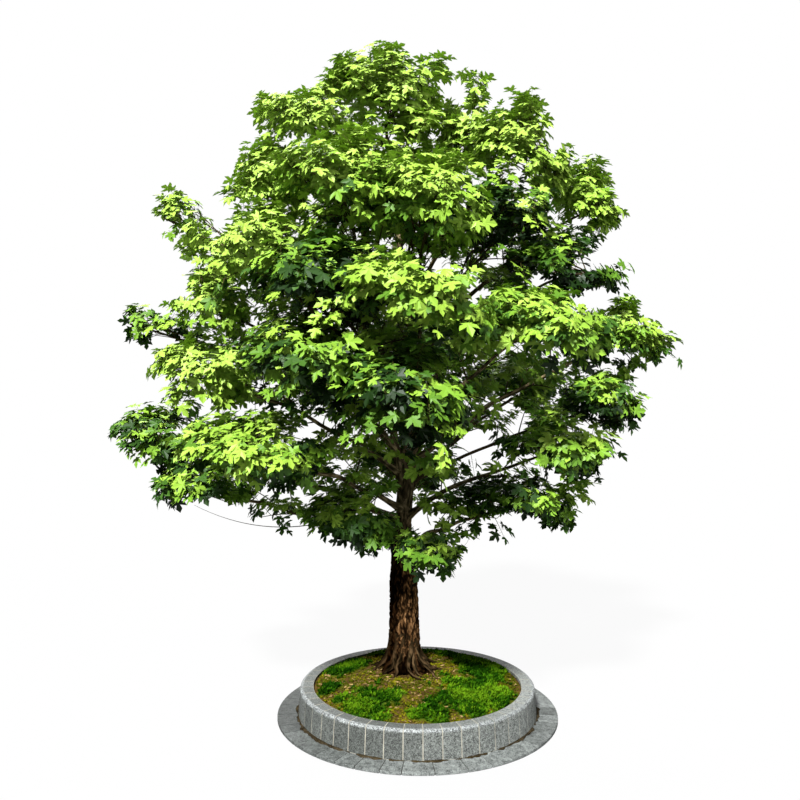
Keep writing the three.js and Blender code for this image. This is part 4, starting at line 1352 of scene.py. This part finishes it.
# Planter
def take_off(shape, edges, offset, segments):
    """Bevels some edges of a stone."""
    bmesh.ops.bevel(
        shape, geom=edges, offset=offset, affect="EDGES", segments=segments, profile=0.5, material=-1,
        clamp_overlap=True,
    )


def wedge_stone(angles, inner, foot, rim, low, high, rounding):
    """One stone of a ring: a cube bent round, its upper outer edge rounded and its others just taken off.

    The cube reaches from -1 to 1: its x becomes the radius, its y the angle and its z the height.
    """
    stone = bmesh.new()
    bmesh.ops.create_cube(stone, size=2.0)
    long_edges = [edge for edge in stone.edges if abs(edge.verts[0].co.y - edge.verts[1].co.y) > 1]
    bmesh.ops.subdivide_edges(stone, edges=long_edges, cuts=STONE_CUTS, use_grid_fill=True)
    for vert in stone.verts:
        angle = lerp(*angles, (vert.co.y + 1) / 2)
        outer = rim if vert.co.z > 0 else foot
        radius = outer if vert.co.x > 0 else inner
        height = high if vert.co.z > 0 else low
        vert.co = (radius * math.cos(angle), radius * math.sin(angle), height)
    bmesh.ops.recalc_face_normals(stone, faces=stone.faces)
    edges = [edge for edge in stone.edges if edge.calc_face_angle() > SHARP_EDGE]
    middle = (inner + rim) / 2
    half_way_up = (low + high) / 2
    upper = [
        edge
        for edge in edges
        if all(vert.co.z > half_way_up and math.hypot(vert.co.x, vert.co.y) > middle for vert in edge.verts)
    ]
    others = [edge for edge in edges if edge not in upper]
    take_off(stone, upper, rounding, ROUNDING_SEGMENTS)
    take_off(stone, [edge for edge in others if edge.is_valid], STONE_ARRIS, 1)
    return stone


def add_stone(shape, stone, tone):
    """Adds a stone to a ring of stones, with its own tone."""
    tone_layer = stone.verts.layers.float.new("stone_tone")
    for vert in stone.verts:
        vert[tone_layer] = tone
    mesh = mesh_of("stone", stone)
    shape.from_mesh(mesh)
    bpy.data.meshes.remove(mesh)


def make_kerb():
    draw = seeded_random(SEED)
    shape = bmesh.new()
    turn = 2 * math.pi / KERB_STONES
    gap = KERB_JOINT / KERB_RIM_RADIUS / 2
    for number in range(KERB_STONES):
        start = KERB_PHASE + number * turn
        stone = wedge_stone(
            (start + gap, start + turn - gap), KERB_INNER_RADIUS, KERB_FOOT_RADIUS, KERB_RIM_RADIUS,
            PAVING_TOP, KERB_TOP - KERB_TOP_VARIES * draw(), KERB_ROUNDING,
        )
        # Painted light: stones toward the right front are paler, the others keep a random tone
        pale = nearness(math.degrees(start + turn / 2), KERB_PAINTED_LIGHT_TOWARD)
        add_stone(shape, stone, lerp(KERB_TONE_VARIES * draw(), 1.0, pale))
    granite = stone_material("granite", DARK_GRANITE, LIGHT_GRANITE, grain=(150, 6.8), cloud=(40, 2.6))
    bmesh_piece("kerb_stones", shape, granite, ["planter_kerb"], smooth=False)
    joints = ring_of([
        (KERB_INNER_RADIUS + MORTAR_RECESS, PAVING_TOP),
        (KERB_FOOT_RADIUS - MORTAR_RECESS, PAVING_TOP),
        (KERB_RIM_RADIUS - MORTAR_RECESS, KERB_TOP - KERB_ROUNDING),
        (KERB_RIM_RADIUS - KERB_ROUNDING, KERB_TOP - MORTAR_BELOW_TOP),
        (KERB_INNER_RADIUS + MORTAR_RECESS, KERB_TOP - MORTAR_BELOW_TOP),
    ], 3 * KERB_STONES)
    mortar = speckled_material(
        "mortar", MORTAR, roughness=0.9, grain=(240, 0.8), cloud=(12, 1.0), bump=0.3
    )
    bmesh_piece("kerb_mortar", joints, mortar, ["planter_kerb"], smooth=False)


def make_paving():
    draw = seeded_random(SEED + 1)
    widths = np.array([varied(PAVING_SLAB_VARIES, draw) for _ in range(PAVING_SLABS)])
    ends = np.concatenate([[0], np.cumsum(widths)]) * 2 * math.pi / widths.sum()
    shape = bmesh.new()
    gap = PAVING_JOINT / PAVING_RADIUS / 2
    for start, end in zip(ends, ends[1:]):
        slab = wedge_stone(
            (start + gap, end - gap), KERB_INNER_RADIUS, PAVING_RADIUS, PAVING_RADIUS, 0.0, PAVING_TOP,
            STONE_ARRIS,
        )
        middle = math.degrees(start + end) / 2
        # Painted light toward the front and painted shade toward the left, over each slab's random tone
        tone = lerp(draw(), 1.0, nearness(middle, PAVING_PAINTED_LIGHT_TOWARD))
        add_stone(shape, slab, tone * (1 - nearness(middle, PAVING_PAINTED_SHADE_TOWARD)))
    paving = stone_material("paving", DARK_PAVING, LIGHT_PAVING, grain=(120, 4.0), cloud=(22, 2.2))
    bmesh_piece("paving_slabs", shape, paving, ["planter_plinth"], smooth=False)
    joints = ring_of([
        (KERB_INNER_RADIUS, PAVING_JOINT_ABOVE_GROUND),
        (PAVING_RADIUS - PAVING_JOINT_RECESS, PAVING_JOINT_ABOVE_GROUND),
        (PAVING_RADIUS - PAVING_JOINT_RECESS, PAVING_TOP - PAVING_JOINT_BELOW_TOP),
        (KERB_INNER_RADIUS, PAVING_TOP - PAVING_JOINT_BELOW_TOP),
    ], 4 * PAVING_SLABS)
    sand = speckled_material(
        "joint_sand", JOINT_SAND, roughness=0.9, grain=(240, 0.5), cloud=(12, 0.5), bump=0.3
    )
    bmesh_piece("paving_joints", joints, sand, ["planter_plinth"], smooth=False)


def make_foot_dirt():
    """Dirt in the corner between kerb and paving, with a ragged outer edge."""
    shape = ring_of([
        (KERB_FOOT_RADIUS - DIRT_UNDER_KERB, PAVING_TOP - DIRT_UNDER_PAVING),
        (KERB_FOOT_RADIUS + DIRT_WIDTH, PAVING_TOP - DIRT_UNDER_PAVING),
        (KERB_FOOT_RADIUS + DIRT_SHOULDER * DIRT_WIDTH, PAVING_TOP + DIRT_SHOULDER * DIRT_WIDTH),
        (KERB_FOOT_RADIUS - DIRT_UNDER_KERB, PAVING_TOP + DIRT_UP_KERB * DIRT_WIDTH),
    ], 8 * KERB_STONES)
    for vert in shape.verts:
        if math.hypot(vert.co.x, vert.co.y) > KERB_FOOT_RADIUS:
            ripple = sum(amount * noise.noise(vert.co * scale) for scale, amount in DIRT_RIPPLES)
            vert.co += Vector((vert.co.x, vert.co.y, 0)).normalized() * ripple * DIRT_WIDTH * DIRT_SPREAD
    dirt = speckled_material("dirt", DIRT, roughness=0.9, grain=(90, 3.0), cloud=(14, 2.4), bump=0.3)
    bmesh_piece("kerb_foot_dirt", shape, dirt, smooth=True)


def layers_at(x, y, layers):
    """Layers of noise on the earth, each with its scale, its place in the noise and its amount."""
    return sum(amount * noise.noise(Vector((x * scale, y * scale, place))) for scale, place, amount in layers)


def soil_height(x, y):
    """The earth rises from the kerb to the seat round the trunk."""
    from_trunk = np.array([x - TRUNK_RIGHT, y - TRUNK_BACK])
    distance = np.linalg.norm(from_trunk)
    if distance < SOIL_SEAT_RADIUS:
        return SOIL_SEAT
    toward = from_trunk / distance
    along = TRUNK_FOOT[:2] @ toward
    edge = -along + math.sqrt(along**2 - TRUNK_FOOT[:2] @ TRUNK_FOOT[:2] + KERB_INNER_RADIUS**2)
    share = min(max((edge - distance) / (edge - SOIL_SEAT_RADIUS), 0.0), 1.0)
    return lerp(SOIL_EDGE, SOIL_SEAT, share)


def moss_at(x, y):
    """How thick the moss is, from 0 on bare earth to 1."""
    nearest = min(math.hypot(x - right, y - back) / half for right, back, half in MOSS_PATCHES)
    return smooth_step(MOSS_ENDS_AT, MOSS_FULL_AT, nearest + layers_at(x, y, MOSS_RAGGED))


def earth_at(x, y):
    """The height of the lumpy earth, with its moss, which is even along the kerb."""
    uneven = smooth_step(KERB_INNER_RADIUS, KERB_INNER_RADIUS - SOIL_EVEN_EDGE, math.hypot(x, y))
    lumps = SOIL_LUMP * layers_at(x, y, SOIL_LUMPS)
    return soil_height(x, y) + uneven * (lumps + MOSS_SWELL * moss_at(x, y))


def from_trunk_at(x, y):
    return math.hypot(x - TRUNK_RIGHT, y - TRUNK_BACK)


def scattered(margin, draw):
    """A place on the earth, with a margin to the kerb."""
    radius = (KERB_INNER_RADIUS - margin) * math.sqrt(draw())
    turn = 2 * math.pi * draw()
    return radius * math.cos(turn), radius * math.sin(turn)


def make_soil():
    """The earth: a line spun round; its upper part, drawn at a height of 1, is then set to the earth's."""
    radius = KERB_INNER_RADIUS - SOIL_GAP
    shape = bmesh.new()
    line = [shape.verts.new((radius * share, 0, 1)) for share in even_shares(SOIL_RINGS)]
    line += [shape.verts.new((radius, 0, 0)), shape.verts.new((0, 0, 0))]
    spin_round(shape, line, [shape.edges.new(pair) for pair in zip(line, line[1:])], SOIL_STEPS)
    moss_layer = shape.verts.layers.float.new("moss")
    for vert in shape.verts:
        if vert.co.z > 0.5:
            vert[moss_layer] = moss_at(vert.co.x, vert.co.y)
            vert.co.z = earth_at(vert.co.x, vert.co.y)
    bmesh_piece("earth", shape, soil_material(), ["planter_soil"])


def make_moss():
    """Tufts of short blades: green where the moss is thick, low and olive between."""
    draw = seeded_random(SEED + 2)
    tufts = {name: Joined() for name in (*GREEN_MOSS, *OLIVE_MOSS)}
    faces = np.array([(0, 1, 2), (0, 2, 3)])
    for _ in range(MOSS_TUFTS):
        x, y = scattered(MOSS_FROM_KERB, draw)
        thick = moss_at(x, y)
        green = thick > MOSS_GREEN_FROM + MOSS_GREEN_VARIES * draw()
        if from_trunk_at(x, y) < MOSS_FROM_TRUNK or (not green and draw() > LOW_MOSS_SHARE):
            continue
        foot = np.array([x, y, earth_at(x, y) - MOSS_SUNK])
        names = list(GREEN_MOSS if green else OLIVE_MOSS)
        patch = 0.5 + MOSS_TONE_PATCHES * noise.noise(Vector((x, y, MOSS_TONE_PLACE)) * MOSS_TONE_SCALE)
        tone = int(len(names) * (patch + MOSS_TONE_VARIES * (draw() - 0.5)))
        tuft = tufts[names[min(max(tone, 0), len(names) - 1)]]
        tall = MOSS_BLADE_HEIGHT * (lerp(THIN_MOSS_HEIGHT, 1.0, thick) if green else LOW_MOSS_HEIGHT)
        for number in range(MOSS_BLADES):
            heading = number * GOLDEN_ANGLE + draw()
            out = np.array([math.cos(heading), math.sin(heading), 0])
            lean = out * (MOSS_LEAN_LEAST + MOSS_LEAN_VARIES * draw())
            side = np.array([-math.sin(heading), math.cos(heading), 0]) * MOSS_BLADE_WIDTH / 2
            rise = (UP + MOSS_BLADE_LEAN * lean) * tall * (MOSS_BLADE_SHORTEST + MOSS_BLADE_VARIES * draw())
            widest = foot + MOSS_BLADE_WIDEST_AT * rise
            tuft.add(np.array([foot, widest + side, foot + rise, widest - side]), faces)
    for name, color in {**GREEN_MOSS, **OLIVE_MOSS}.items():
        moss = speckled_material(name, color, roughness=0.7, grain=(60, 1.6), cloud=(9, 1.2))
        tufts[name].piece(name, moss, "soil", smooth=False)


def make_litter():
    """Dry flakes of bark and leaf on the bare earth."""
    draw = seeded_random(SEED + 3)
    flakes = {name: Joined() for name in LITTER}
    faces = np.array([(0, 1, 2), (0, 2, 3)])
    for _ in range(LITTER_FLAKES):
        x, y = scattered(LITTER_FROM_KERB, draw)
        if moss_at(x, y) > LITTER_UP_TO_MOSS or from_trunk_at(x, y) < LITTER_FROM_TRUNK:
            continue
        heading = 2 * math.pi * draw()
        length = LITTER_LENGTH * (LITTER_SHORTEST + draw())
        along = np.array([math.cos(heading), math.sin(heading), LITTER_TILT * (draw() - 0.5)]) * length
        aside = np.array([-math.sin(heading), math.cos(heading), LITTER_ROLL * (draw() - 0.5)]) * length
        aside *= LITTER_NARROWEST + LITTER_WIDTH_VARIES * draw()
        foot = np.array([x, y, earth_at(x, y) + LITTER_ABOVE_EARTH])
        corners = np.array([foot - along / 2, foot - aside, foot + along / 2, foot + aside])
        flakes[list(LITTER)[int(len(LITTER) * draw())]].add(corners, faces)
    for name, color in LITTER.items():
        dry = speckled_material(name, color, roughness=0.9, grain=(120, 1.6), cloud=(15, 1.2))
        flakes[name].piece(name, dry, "soil", smooth=False)


# Stage
def show_camera(nodes, links, lit, seen, share, output):
    """Shows the camera a share of another shader than the one that takes and gives light."""
    rays = nodes.new("ShaderNodeLightPath")
    mixed = nodes.new("ShaderNodeMixShader")
    links.new(math_node(nodes, links, "MULTIPLY", rays.outputs["Is Camera Ray"], share), mixed.inputs["Fac"])
    links.new(lit.outputs[0], mixed.inputs[1])
    links.new(seen.outputs[0], mixed.inputs[2])
    links.new(mixed.outputs[0], output.inputs["Surface"])


def make_floor():
    """A plain floor that the camera sees nearly white, and that throws little light back."""
    shape = bmesh.new()
    bmesh.ops.create_grid(shape, x_segments=1, y_segments=1, size=FLOOR_HALF_WIDTH)
    mesh = mesh_of("floor", shape)
    floor = add_object("floor", mesh)
    material, nodes, links, shader = new_material("pale_floor", FLOOR_COLOR, roughness=0.9, specular=0.0)
    glow = nodes.new("ShaderNodeEmission")
    glow.inputs["Strength"].default_value = FLOOR_GLOW
    show_camera(nodes, links, shader, glow, FLOOR_GLOW_SHARE, nodes["Material Output"])
    mesh.materials.append(material)


def make_world():
    """A dim sky for light, behind a white background."""
    world = bpy.data.worlds.new("studio")
    bpy.context.scene.world = world
    world.use_nodes = True
    nodes, links = world.node_tree.nodes, world.node_tree.links
    sky = nodes["Background"]
    sky.inputs["Color"].default_value = SKY_COLOR
    sky.inputs["Strength"].default_value = SKY_STRENGTH
    white = nodes.new("ShaderNodeBackground")
    white.inputs["Color"].default_value = (1, 1, 1, 1)
    show_camera(nodes, links, sky, white, 1.0, nodes["World Output"])


def make_sun(name, azimuth, elevation, strength, softness):
    lamp = bpy.data.lights.new(name, "SUN")
    lamp.energy = strength
    lamp.angle = math.radians(softness)
    sun = add_object(name, lamp)
    flat = math.cos(math.radians(elevation))
    toward = Vector((
        math.sin(math.radians(azimuth)) * flat,
        -math.cos(math.radians(azimuth)) * flat,
        math.sin(math.radians(elevation)),
    ))
    sun.rotation_euler = toward.to_track_quat("Z", "Y").to_euler()


def make_camera():
    lens = bpy.data.cameras.new("camera")
    lens.lens = CAMERA_LENS_MM
    lens.sensor_width = CAMERA_SENSOR_MM
    camera = add_object("camera", lens)
    camera.location = CAMERA_PLACE
    camera.rotation_euler = (math.pi / 2, 0, 0)
    bpy.context.scene.camera = camera


make_camera()
make_floor()
make_world()
for name, values in SUNS.items():
    make_sun(name, *values)
bpy.context.scene.view_settings.view_transform = "Standard"

limbs = make_limbs()
make_bark(limbs)
make_crown(limbs)
make_kerb()
make_paving()
make_foot_dirt()
make_soil()
make_moss()
make_litter()
